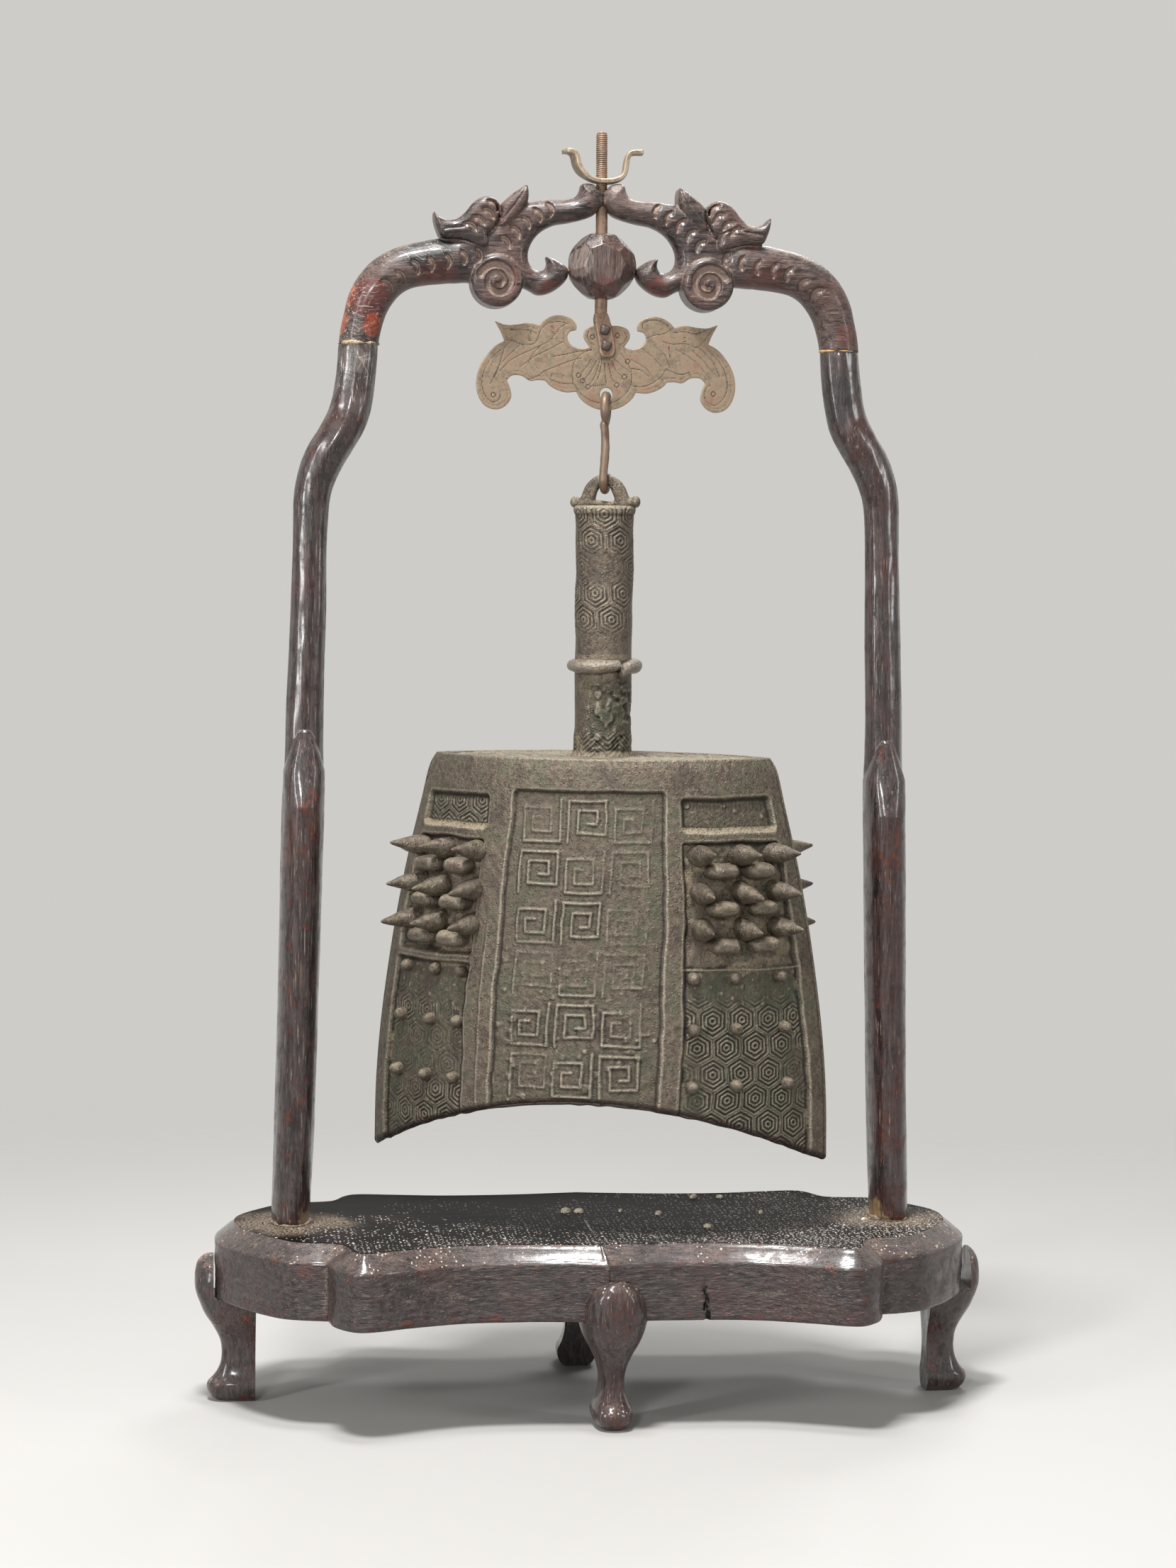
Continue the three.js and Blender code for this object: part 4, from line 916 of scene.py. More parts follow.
def blend(first, second, reach):
    """Two solids in one, with a fillet where they meet."""
    share = held(0.5 + 0.5 * (second - first) / reach)
    return second + (first - second) * share - reach * share * (1 - share)


def plank(flat, deep, half, rounding):
    """A flat outline given thickness, with round edges."""
    side = flat[:, None, :] + rounding
    face = np.abs(deep)[None, :, None] - half + rounding
    return (np.minimum(np.maximum(side, face), 0)
            + np.hypot(np.maximum(side, 0), np.maximum(face, 0)) - rounding)


def carve(field, xs, ys, zs):
    """Points and faces of the surface where a field on a grid is zero, negative inside."""
    full = field < 0
    cells = tuple(n - 1 for n in field.shape)
    total = np.zeros(cells + (3,))
    count = np.zeros(cells)
    part = lambda corner: tuple(slice(c, c + n) for c, n in zip(corner, cells))
    for axis in range(3):
        for one in (0, 1):
            for two in (0, 1):
                start = [one, two]
                start.insert(axis, 0)
                stop = list(start)
                stop[axis] = 1
                a, b = field[part(start)], field[part(stop)]
                hit = (a < 0) != (b < 0)
                share = np.where(hit, a / np.where(hit, a - b, 1), 0)
                for k in range(3):
                    total[..., k] += np.where(hit, share if k == axis else start[k], 0)
                count += hit
    used = count > 0
    index = np.full(cells, -1)
    index[used] = np.arange(used.sum())
    cell = np.argwhere(used) + total[used] / count[used][:, None]
    spans = [np.interp(cell[:, k], np.arange(len(line)), line) for k, line in enumerate((xs, ys, zs))]
    points = np.stack(spans, axis=1)
    faces = []
    for axis in range(3):
        others = [k for k in range(3) if k != axis]
        here = [slice(1, n) for n in cells]
        here[axis] = slice(0, cells[axis])
        ahead = list(here)
        ahead[axis] = slice(1, cells[axis] + 1)
        a, b = full[tuple(here)], full[tuple(ahead)]
        quads = []
        for back in ((1, 1), (0, 1), (0, 0), (1, 0)):
            around = list(here)
            for other, step in zip(others, back):
                around[other] = slice(1 - step, cells[other] - step)
            quads.append(index[tuple(around)])
        quads = np.stack(quads, axis=-1)
        rising, falling = quads[a & ~b], quads[b & ~a]
        if axis == 1:
            rising, falling = falling, rising
        faces.append(np.vstack([rising, falling[:, ::-1]]))
    return points, np.vstack(faces)


def dragon_field(xs, ys, zs):
    """The right dragon, on a grid in millimetres from the middle and from the joint's height, and
    where its faces are gouged."""
    limb = smooth_line([(x, z, width / 2) for z, x, width in limb_line], 5)
    away, along = distances(xs, zs, limb[:, :2])
    radius = np.interp(along, np.linspace(0, 1, len(limb)), limb[:, 2])
    solid = np.sqrt(away[:, None, :] ** 2 + ys[None, :, None] ** 2) - radius[:, None, :]
    body = plank(inside_of(xs, zs, run_of(body_outline)), ys, body_half, 7.5)
    solid = blend(solid, body, 1.5)
    x, z = np.meshgrid(xs, zs, indexing="ij")
    span = np.hypot(x - scroll_middle[0], z - scroll_middle[1])
    solid = blend(solid, plank(span - scroll_radius, ys, head_half, 3.0), 0.8)
    head = plank(inside_of(xs, zs, run_of(head_outline)), ys, head_half, 4.6)
    ear = plank(inside_of(xs, zs, run_of(ear_outline)), ys, head_half - 0.8, 4.0)
    solid = blend(solid, blend(head, ear, 0.5), 0.7)
    deep = np.abs(ys)[None, :, None] - body_half
    beside, above = xs[:, None, None], zs[None, None, :] - crest_top
    knife_top = 0.7 * (deep + above + 5.8) - 0.1 * (beside - 4)
    knife_front = 0.8 * deep - 0.6 * beside + 3.1 + 0.09 * (above + 8)
    at_crest = (beside < 15) & (above > -19)
    solid = np.maximum(solid, np.where(at_crest, np.maximum(knife_top, knife_front), -9))
    depth = np.zeros(x.shape)
    for across, up, bulge in nick_places:
        way = np.array([math.cos(math.radians(bulge)), math.sin(math.radians(bulge))])
        dx, dz = x - across + way[0] * 3.0, z - up + way[1] * 3.0
        reach = np.hypot(dx, dz)
        faces_way = (dx * way[0] + dz * way[1]) / np.maximum(reach, 1e-6)
        rim = held((nick_radius - reach) / 0.5)
        fade = held(1 - (nick_radius - reach) / nick_fade)
        depth = np.maximum(depth, nick_depth * rim * fade * held((faces_way - 0.25) / 0.3))
    cut = depth / nick_depth
    turns = np.linspace(0, spiral_turns * 2 * math.pi, 90)
    coil = spiral_outer + (spiral_inner - spiral_outer) * (turns / turns[-1]) ** 0.85
    spiral = np.stack([scroll_middle[0] + coil * np.cos(turns + math.radians(20)),
                       scroll_middle[1] + coil * np.sin(turns + math.radians(20))], axis=1)
    groove, along = distances(xs, zs, spiral)
    width = 2.5 - 0.9 * along
    gouged = held(1.25 - 1.25 * (groove / width) ** 2)
    depth = np.maximum(depth, groove_depth * gouged)
    cut = np.maximum(cut, 0.7 * gouged)
    for line, reach, deep in ((jaw_line, 0.9, 0.9), (ear_rib, 0.8, 0.7)):
        away, _ = distances(xs, zs, smooth_line(line, 5))
        depth = np.maximum(depth, deep * held(1 - away / reach))
    faced = held((np.abs(ys) - 2) / 3)[None, :, None]
    solid = solid + depth[:, None, :] * faced
    pearl_room = np.hypot(x, z - (pearl_middle - joint_height) / mm) - pearl_radius / mm - 0.3
    solid = np.maximum(solid, -pearl_room[:, None, :])
    rod_way = np.hypot(xs[:, None], ys[None]) - rod_hole_radius
    solid = np.maximum(solid, -rod_way[:, :, None])
    solid = np.maximum(solid, joint_gap - xs[:, None, None])
    return np.maximum(solid, joint_gap - zs[None, None, :]), cut


pearl_low, pearl_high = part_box("pearl_boss")
pearl_middle = (pearl_low.z + pearl_high.z) / 2
pearl_radius = (pearl_high.z - pearl_low.z) / 2
grid_x = np.arange(-1.1, arch_high.x / mm + 1.2, carve_step / mm)
grid_y = np.arange(-13.2, 13.21, carve_step / mm)
grid_z = np.arange(-0.9, (arch_high.z - joint_height) / mm + 1.4, carve_step / mm)
field, cut = dragon_field(grid_x, grid_y, grid_z)
dragon_points, dragon_faces = carve(field, grid_x, grid_y, grid_z)
column = np.round((dragon_points[:, 0] - grid_x[0]) / (carve_step / mm)).astype(int)
level = np.round((dragon_points[:, 2] - grid_z[0]) / (carve_step / mm)).astype(int)
dragon_cut = cut[np.clip(column, 0, len(grid_x) - 1), np.clip(level, 0, len(grid_z) - 1)]
dragon_cut *= held((np.abs(dragon_points[:, 1]) - 3) / 2)
dragon_points = dragon_points * mm + [0, 0, joint_height]
for name, side in (("left", -1), ("right", 1)):
    points = dragon_points * [side, 1, 1]
    lumps = clouds(points, 8, side + 8) * 0.16
    points[:, 1] -= np.sign(points[:, 1]) * np.maximum(lumps, -0.1) * mm
    faces = dragon_faces[:, ::side]
    joint_z = joint_height / mm
    red_lacquer, bare_orange = paint(92, 34, 26), paint(176, 84, 46)
    if side < 0:
        patches = [
            ((-134, -2, joint_z + 25), 9, bare_orange, 0.6), ((-138, -2, joint_z + 12), 8, bare_orange, 0.6),
            ((-122, -9, joint_z + 22), 13, red_lacquer, 0.7),
            ((-91, -6, joint_z + 47), 15.5, paint(14, 13, 15), 1.5),
            ((-120, -8, joint_z + 9), 7.5, paint(168, 66, 36), 0.7),
            ((-86, -8, joint_z + 33), 12, red_lacquer, 0.5),
            ((-127, 0, joint_z - 1), 8, filler, 0.8), ((-28, -4, joint_z + 30), 8, red_lacquer, 0.5),
        ]
    else:
        patches = [
            ((129, -9, joint_z + 8), 7, paint(104, 46, 34), 0.4),
            ((120, -3, joint_z + 46), 15, paint(34, 28, 30), 0.6),
            ((127, 0, joint_z - 1), 7, old_glue, 0.7), ((28, -4, joint_z + 30), 9, red_lacquer, 0.6),
            ((84, -6, joint_z + 32), 14, red_lacquer, 0.45),
            ((8, -6, joint_z + 78), 9, paint(120, 106, 98), 0.35),
        ]
    crazed = [((-92, -4, joint_z + 50), 17), ((-130, -4, joint_z + 16), 22)] if side < 0 else []
    wood = hardwood(f"dragon_wood_{name}", 0, 0.9, 0.5, 0.5, patches, faded=0.7, crazed=crazed, depth=0.5)
    make(f"dragon_{name}", points.tolist(), faces.tolist(), wood, "stand", "hardwood", [f"arch_{name}"],
         marks={"cut": dragon_cut, "crack": 0.0})


# Pearl: a thick disc of the same wood, domed and then cut to flat facets with a knife. The rod runs
# down through it, and a peg in each dragon's tail holds it.
pearl_half = (pearl_high.y - pearl_low.y) / 2
pearl_step = 0.4
pearl_facets = [  # way it faces round the rim and towards the front, and its reach
    (20, 42, 16.4), (68, 44, 15.9), (112, 44, 16.4), (160, 38, 15.5), (206, 42, 16.2), (250, 44, 16.5),
    (298, 42, 16.4), (340, 44, 16.5), (0, 90, 13.2), (45, 16, 16.9), (90, 14, 17.2), (135, 16, 16.9),
    (180, 12, 17.1), (225, 16, 16.9), (270, 14, 17.2), (315, 16, 16.9),
]


def pearl_field(xs, ys, zs):
    """The pearl on a grid in millimetres from its middle."""
    x, y, z = np.meshgrid(xs, ys, zs, indexing="ij")
    disc = np.hypot(x, z) - pearl_radius / mm
    solid = np.maximum(disc, np.abs(y) - pearl_half / mm)
    for round_rim, forward, reach in pearl_facets:
        rim, front = math.radians(round_rim), math.radians(forward)
        flat = math.cos(front)
        plane = x * flat * math.cos(rim) + z * flat * math.sin(rim) + np.abs(y) * math.sin(front) - reach
        solid = -blend(-solid, -plane, 0.25)
    return np.maximum(solid, rod_hole_radius - np.hypot(x, y))


reach = pearl_radius / mm + 1
grid_x = np.arange(-reach, reach, pearl_step)
grid_y = np.arange(-pearl_half / mm - 1, pearl_half / mm + 1, pearl_step)
points, faces = carve(pearl_field(grid_x, grid_y, grid_x), grid_x, grid_y, grid_x)
points = points * mm + [0, 0, pearl_middle]
pearl_patches = [((-13, -10, pearl_middle / mm + 2), 10, paint(134, 120, 112), 0.7),
                 ((2, -14, pearl_middle / mm - 14), 10, paint(88, 40, 32), 0.5)]
pearl_wood = hardwood("pearl_wood", 2, 0.6, 0.4, 0.9, pearl_patches, faded=0.6)
make("faceted_pearl", points.tolist(), faces.tolist(), pearl_wood, "stand", "hardwood", ["pearl_boss"])


# Dowels and pegs: pale round pins inside the joints, seen only when the stand is taken apart.
pin_finish = Finish("pin_wood")
pin_grain = pin_finish.noise(1.2, 4, (1, 1, 0.15))
pin_wood = pin_finish.done(pin_finish.colour(paint(150, 112, 74), paint(112, 80, 50), pin_grain), 0.7,
                           pin_grain, 0.1)
for name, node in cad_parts.items():
    if "dowel" in name or "peg" in name:
        node.data.materials.clear()
        node.data.materials.append(pin_wood)


# Bell: one bronze casting, lens-shaped in section and open at the mouth, with a hollow shank on
# top. Its bands, sunk panels, bosses and bars were moulded, and earth and patina fill the hollows.
bell_low, bell_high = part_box("bell_casting")
hang_shift = (bell_low.x + bell_high.x) / 2
bell_turn = -16  # degrees about the vertical, as it hangs
bell_height = 210.5
mouth_rise = 34  # from here on the bell is worked out in millimetres
bell_top_half = 90.5  # half the width of the top
bell_top_deep = 38  # and half its depth, front to back
widest_share = 1.338  # of the width of the top
face_angle = math.radians(55)  # half of the arc that each face is
blunt_share = 0.985  # of the half width, where the two faces meet in a blunt edge
bell_wall = 5.5
top_plate = 6
tip_height = (bell_low.z / mm) - 1.0
top_height = tip_height + bell_height
flare_shares = [
    (0, 1), (0.03, 1.04), (0.12, 1.092), (0.3, 1.19), (0.5, 1.273), (0.7, 1.334), (0.85, 1.359), (1, 1.365),
]
flare = smooth_line(flare_shares, 10)
panel_edges = ((-0.4, -0.4), (0.43, 0.316))
side_zones = (((-0.93, -0.93), (-0.53, -0.53)), ((0.5, 0.4), (0.93, 0.93)))
panel_top_share = 0.075
cell_shares = (0.09, 0.18)
boss_zone_shares = (0.2, (0.495, 0.52))
lower_top_share = 0.51
past_mouth = 40  # how far the panels' outlines run on below the bell
hexagon_pitch = 16.0
ring_pitch = 2.0
spiral_width = 24.4
spiral_height = 26.2
spirals_half = 36.6  # half the width of the field of squared spirals
spirals_rise = 160.4  # from its lowest row to the top of the panel
lip_round = 2.2
relief_step = 0.62
mouth_radius = ((bell_top_half * widest_share) ** 2 + mouth_rise ** 2) / (2 * mouth_rise)


def half_width_at(z):
    return bell_top_half * np.interp((top_height - z) / bell_height, flare[:, 0], flare[:, 1])


def across_at(edge, z):
    """Where an edge that runs down the face lies at a height, as a share of the half width."""
    return edge[0] + (edge[1] - edge[0]) * (top_height - z) / bell_height


def down(share):
    """The height at a share of the way down from the top of the bell."""
    return top_height - share * bell_height


def ramp(value, low, high):
    """0 up to low, 1 from high on, and a smooth slope between them."""
    share = held((value - low) / (high - low))
    return share * share * (3 - 2 * share)


def pool(u, z, left, right, low, high, corner):
    """How deep inside a rounded rectangle on the face a point lies, in millimetres."""
    side = np.abs(u - (left + right) / 2) - (right - left) / 2 + corner
    ends = np.abs(z - (low + high) / 2) - (high - low) / 2 + corner
    outside = np.hypot(np.maximum(side, 0), np.maximum(ends, 0)) + np.minimum(np.maximum(side, ends), 0)
    return corner - outside


def hexagon_rings(u, z, pitch):
    """Ridges in concentric hexagons, 0 to 1, in a honeycomb with a pitch in millimetres."""
    row = pitch * math.sqrt(3) / 2
    best = np.full(u.shape, np.inf)
    for shift in (0, 1):
        level = 2 * np.round((z / row - shift) / 2) + shift
        middle = (np.round(u / pitch - 0.5 * shift) + 0.5 * shift) * pitch
        du, dz = np.abs(u - middle), np.abs(z - level * row)
        best = np.minimum(best, np.maximum(du, 0.5 * du + 0.8660254 * dz))
    return 0.5 - 0.5 * np.cos(2 * math.pi * (pitch / 2 - best) / ring_pitch + 1.2)


def square_spirals(u, z, width, height):
    """Raised squared spirals, 0 to 1, a common border pattern, every other one turned over."""
    column, row = np.floor(u / width), np.floor(z / height)
    odd = np.where((column + row) % 2 > 0, -1, 1)
    x = ((u / width - column) * 2 - 1) * odd * width / 2
    y = ((z / height - row) * 2 - 1) * odd * height / 2
    turns = [(-0.82, -0.84), (-0.82, 0.8), (0.8, 0.8), (0.8, -0.5), (-0.4, -0.5), (-0.4, 0.42),
             (0.42, 0.42), (0.42, -0.12), (0.02, -0.12)]
    best = np.full(u.shape, np.inf)
    for a, b in zip(turns, turns[1:]):
        ax, ay = a[0] * width / 2, a[1] * height / 2
        bx, by = (b[0] * width / 2 - ax), (b[1] * height / 2 - ay)
        share = held(((x - ax) * bx + (y - ay) * by) / (bx * bx + by * by))
        best = np.minimum(best, np.hypot(x - ax - share * bx, y - ay - share * by))
    return ramp(best, 1.2, 0.3)


def face_relief(share, z, u, radius, seed):
    """How far the face stands proud of its plain bands, how much earth lies there, and where the floors of
    the panels are. The earth on the cells' bottom ledges is partly painted light. The seed's noise makes no
    two faces the same."""
    place = np.stack([u, z, np.full(u.shape, 40.0 * seed)], axis=-1) * mm
    wander = clouds(place, 17, seed) * 0.8 + clouds(place, 6, seed + 1) * 0.5
    uu, zz = u + wander, z + clouds(place, 14, seed + 2) * 0.8
    edge_at = lambda edge: radius * np.arcsin(np.clip(across_at(edge, z) * math.sin(face_angle), -1, 1))
    wear = ramp(clouds(place, 26, seed + 3), -0.35, 0.45)
    height = clouds(place, 30, seed + 4) * 0.4 + clouds(place, 4.5, seed + 5) * 0.14
    height += clouds(place, 2.1, seed + 7) * 0.1
    grit = ramp(clouds(place, 3.0, seed + 8), 0.28, 0.75)
    earth, floor = np.zeros(u.shape), np.zeros(u.shape)
    hexagons = hexagon_rings(uu * 0.97 + 4, zz, hexagon_pitch)
    left, right = edge_at(panel_edges[0]), edge_at(panel_edges[1])
    deep = pool(uu, zz, left, right, down(1) - past_mouth, down(panel_top_share), 3)
    height -= 1.9 * ramp(deep, -0.3, 1.8)
    height += 0.5 * ramp(np.abs(uu - left + 7.5), 1.2, 0.2) * ramp(z, down(0.3), down(0.5))
    height += 0.6 * grit * ramp(deep, 1, 3) * ramp(z, down(0.25), down(0.7))
    floor += 0.3 * ramp(deep, 0.5, 2)
    spirals = square_spirals(uu - (left + right) / 2 + spirals_half,
                             zz - down(panel_top_share) + spirals_rise, spiral_width, spiral_height)
    beside = np.abs(uu - (left + right) / 2)
    height += 0.85 * spirals * ramp(deep, 3.2, 5.0) * (beside < spirals_half) * (0.3 + 0.7 * wear)
    patchy = ramp(clouds(place, 9, seed + 6), -0.1, 0.5)
    earth += 0.3 * ramp(deep, 0.2, 1.0) * ramp(deep, 3.4, 1.8) * patchy
    for zone in side_zones:
        on_left = zone[0][0] < 0
        left, right = edge_at(zone[0]), edge_at(zone[1])
        cell = pool(uu, zz, left, right, down(cell_shares[1]), down(cell_shares[0]), 3.5)
        height -= 2.9 * ramp(cell, -0.3, 2.6)
        floor += 0.5 * ramp(cell, 0.5, 2.5)
        height += (0.8 if on_left else 0.25) * hexagons * ramp(cell, 2.5, 3.6)
        height += 0.5 * grit * ramp(cell, 2, 3.5)
        zone_low = down(boss_zone_shares[1][0 if on_left else 1])
        bossed = pool(uu, zz, left, right, zone_low, down(boss_zone_shares[0]), 2.5)
        sunk = 3.0 * ramp(bossed, -0.3, 2.2)
        lumps = clouds(place, 8, seed + 9) * 1.1 + clouds(place, 3.4, seed + 10) * 0.6
        height += lumps * ramp(bossed, 1.0, 3.5)
        # Pale earth on the cells' bottom ledges, which face up to the light: partly real earth, partly
        # painted light.
        sill_earth_and_light = ramp(zz - down(cell_shares[1]), -1.0, 0.2) * ramp(zz - down(cell_shares[1]), 3.6, 2.0)
        earth += 1.1 * sill_earth_and_light * ramp(cell, -0.6, 0.3)
        earth += ramp(bossed, 0.6, 2.4) * (0.2 + 0.45 * patchy)
        lower = pool(uu, zz, left, right, down(1) - past_mouth, down(lower_top_share), 2)
        height -= np.maximum(sunk, 2.3 * ramp(lower, -0.3, 2.0))
        height += 0.5 * grit * ramp(lower, 1, 3) * ramp(z, down(0.8), down(0.6))
        floor += ramp(lower, 0.5, 2.5) * (0.5 if on_left else 0.9)
        fade = ramp(z, down(0.52), down(0.66)) * ramp(lower, 1.6, 3.2)
        height += 0.95 * hexagons * fade * (0.4 + 0.6 * wear)
        earth += 0.5 * ramp(lower, 0.3, 1.4) * ramp(lower, 5, 2) * patchy + 0.1 * ramp(lower, 1, 3)
        earth += 0.3 * ramp(cell, 0.2, 1.0) * ramp(cell, 3.2, 1.6) * patchy
    return height, earth, floor


most = math.asin(blunt_share * math.sin(face_angle))
columns = int(round(2 * most * bell_top_half * widest_share / math.sin(face_angle) / relief_step))
rim_points = 7
bell_rows = int(round((bell_height - mouth_rise * 0.3) / relief_step))
turn_angles = np.linspace(-most, most, columns)


def bell_side(rows, inset, depth_share, seed, engraved):
    """Rings of points from the mouth up, inset in millimetres, with their earth and panel floors."""
    found = []
    for face in (0, 1):
        angles = np.repeat(turn_angles[None], len(rows), axis=0)
        z = np.full(angles.shape, tip_height + mouth_rise)
        for _ in range(8):
            half = half_width_at(z) - inset
            x = half / math.sin(face_angle) * np.sin(angles)
            mouth = tip_height + mouth_rise - mouth_radius + np.sqrt(mouth_radius ** 2 - x ** 2)
            z = mouth + np.array(rows)[:, None] * (top_height - depth_share * top_plate - mouth)
        half = half_width_at(z) - inset
        radius = half / math.sin(face_angle)
        share = np.sin(angles) / math.sin(face_angle)
        height, earth, floor = np.zeros(z.shape), np.zeros(z.shape), np.zeros(z.shape)
        if engraved:
            height, earth, floor = face_relief(share, z, radius * angles, radius, seed + 20 * face)
            edge = np.minimum((angles + most), (most - angles)) * radius
            height *= ramp(edge, 0, 3)
            height -= 0.8 * ramp(edge, 2.2, 0)
            above = held((z - mouth) / lip_round)
            height -= lip_round * (1 - np.sqrt(1 - (1 - above) ** 2)) * 0.5
        span = radius + height
        x, y = span * np.sin(angles), -(span * np.cos(angles) - radius * math.cos(face_angle))
        rounds = np.linspace(0, math.pi, rim_points + 2)[1:-1]
        edge_x = x[:, -1:] + 0.9 * np.sin(rounds)[None]
        edge_y = y[:, -1:] * np.cos(rounds)[None]
        edge_z = z[:, -1:] + 0 * rounds[None]
        ring = np.stack([np.hstack([x, edge_x]), np.hstack([y, edge_y]), np.hstack([z, edge_z])], -1)
        ring[..., :2] *= 1 - 2 * face
        found.append((ring, np.hstack([earth, np.full(edge_x.shape, 0.15)]),
                      np.hstack([floor, np.zeros(edge_x.shape)])))
    return [np.hstack([found[0][k], found[1][k]]) for k in range(3)]


def hung(points):
    """From the bell's own axes, in millimetres, to where it hangs."""
    turn = np.array(Matrix.Rotation(math.radians(bell_turn), 3, "Z"))
    return points @ turn.T * mm + [hang_shift, 0, 0]


outer, outer_earth, outer_floor = bell_side(np.linspace(0, 1, bell_rows), 0, 0, 11, True)
inner = bell_side(np.linspace(0, 1, 40)[::-1], bell_wall, 1, 12, False)[0]
lip_low, lip_high = inner[-1], outer[0]
lip = [lip_low + (lip_high - lip_low) * share - [0, 0, 1.3 * math.sin(share * math.pi) ** 0.5]
       for share in (0.08, 0.25, 0.5, 0.75, 0.92)]
lumps = clouds(np.array(lip) * mm, 5, 3)
lip = np.array(lip) - [0, 0, 0.5] * lumps[..., None]
edge = outer[-1]
plate = []
for inset, rise in ((0.8, 0.75), (1.8, 1.05), (3.0, 1.0), (3.6, 0.35)):
    plate.append(edge * [1 - inset / bell_top_half, 1 - inset / bell_top_deep, 1]
                 + [0, 0, rise - 1])
for share in np.linspace(0.93, 0.0, 46):
    ring = edge * [share, share, 1]
    ridges = np.sin((1 - share) * 75 + clouds(ring * mm, 19, 4) * 5)
    lift = 0.7 * ridges + clouds(ring * [0.5, 2, 1] * mm, 5, 5) * 0.4 - 1.0
    ring[:, 2] += np.where(share > 0.02, lift, -1.2)
    plate.append(ring)
ceiling = [inner[0] * [share, share, 1] for share in (0.0, 0.5, 0.9)]
bell_points = np.concatenate([np.array(ceiling), inner, lip, outer, np.array(plate)])


def bell_mark(inside, at_lip, outside, on_top):
    """A mark for each point of the bell, from the ceiling down, round the lip and up to the top."""
    counts = (len(ceiling) + len(inner), len(lip), len(outer), len(plate))
    parts = [np.broadcast_to(np.asarray(value, float), (count, inner.shape[1]))
             for value, count in zip((inside, at_lip, outside, on_top), counts)]
    return np.concatenate(parts).ravel()


def same_earth(earth):
    """The marks of a bronze piece with the same earth all over, no lip and no panels."""
    return {"earth": earth, "lip": 0.0, "floor": 0.0}


def bronze(name, earthy=0.5, sheen=0.5, green=0.5, rub_and_highlight=0.6, bare=0.6):
    """Old bronze: brown-grey where rubbed, green where not, with tan earth in the hollows. Raised edges get a
    painted highlight besides their wear, and sunk places get painted shade.
    """
    metal = Finish(name)
    broad = metal.noise(46, 4, shift=(3, 1, 4))
    patch = metal.noise(13, 5, shift=(8, 5, 2))
    speck = metal.noise(2.6, 6, shift=(1, 9, 3), rough=0.75)
    fine = metal.noise(0.8, 3, shift=(6, 2, 8))
    grit = metal.cells(2.2, (2, 4, 6))
    pits = metal.cells(5.5, (7, 3, 1))
    proud, earth, lip, floor = (metal.mark(word) for word in ("proud", "earth", "lip", "floor"))
    mottled = (speck * 0.7 + fine * 0.3).between(0.38, 0.62)
    metal.shade = metal.colour(paint(72, 64, 55), paint(118, 106, 92), mottled)
    metal.lay(paint(78, 88, 70), patch.between(0.47, 0.62) * green * 0.8)
    metal.lay(paint(104, 92, 82), broad.between(0.5, 0.68) * 0.4)
    metal.lay(paint(66, 70, 56), floor * (0.4 + 0.4 * patch.between(0.4, 0.6)))
    metal.lay(paint(62, 56, 52), (1 - patch.between(0.32, 0.47)) * 0.5)
    rust = patch.between(0.56, 0.66) * speck.between(0.56, 0.66)
    metal.lay(paint(146, 92, 62), rust * 0.5)
    # Sunk places are laid near black: painted shade.
    hollow = (0 - proud).between(0.04, 0.3)
    metal.lay(paint(36, 32, 28), hollow * 0.85)
    lies = metal.upward().between(0.15, 0.8)
    # Tan earth where the earth mark lies; on the bell's cell ledges it is partly painted light.
    soil = (earth * 1.05 + lies * 0.25 + patch - 0.74).between(0.05, 0.5) * earthy
    soil = soil * (speck * 0.5 + fine * 0.5).between(0.36, 0.54)
    metal.lay(paint(152, 137, 112), soil * (0.6 + 0.4 * fine.between(0.4, 0.6)))
    # Raised edges are lighter and smoother: partly rubbed wear, partly a painted highlight, held back where
    # the surface faces up.
    rubbed_and_highlit = proud.between(0.06, 0.32) * (1 - lies * 0.5) * rub_and_highlight
    metal.lay(paint(170, 161, 144), rubbed_and_highlit * (0.5 + 0.5 * fine.between(0.4, 0.6)))
    metal.lay(paint(46, 36, 33), lip * 0.9)
    metal.lay(paint(132, 62, 40), lip * speck.between(0.58, 0.68) * 0.7)
    rough = 0.52 - 0.18 * sheen - rubbed_and_highlit * 0.08 + soil * 0.35 + floor * 0.1
    height = speck * 0.8 + (1 - grit.between(0.0, 0.32)) * 0.45 - (1 - pits.between(0, 0.1)) * 0.7
    height = height + fine * 0.3
    return metal.done(metal.shade, rough, height, 0.8, Metallic=(1 - soil) * bare)


bell_bronze = bronze("bell_bronze", 0.8)
points, faces = skin(hung(bell_points), low_end=False, high_end=False)
make("bell_shell", points, faces, bell_bronze, "bell", "bell_bronze", ["bell_casting"],
     marks={"earth": bell_mark(0.3, -0.6, outer_earth, 0.25),
            "lip": bell_mark(0, 1, ramp(np.arange(len(outer)), 6, 3)[:, None], 0),
            "floor": bell_mark(0, 0, outer_floor, 0.5)})

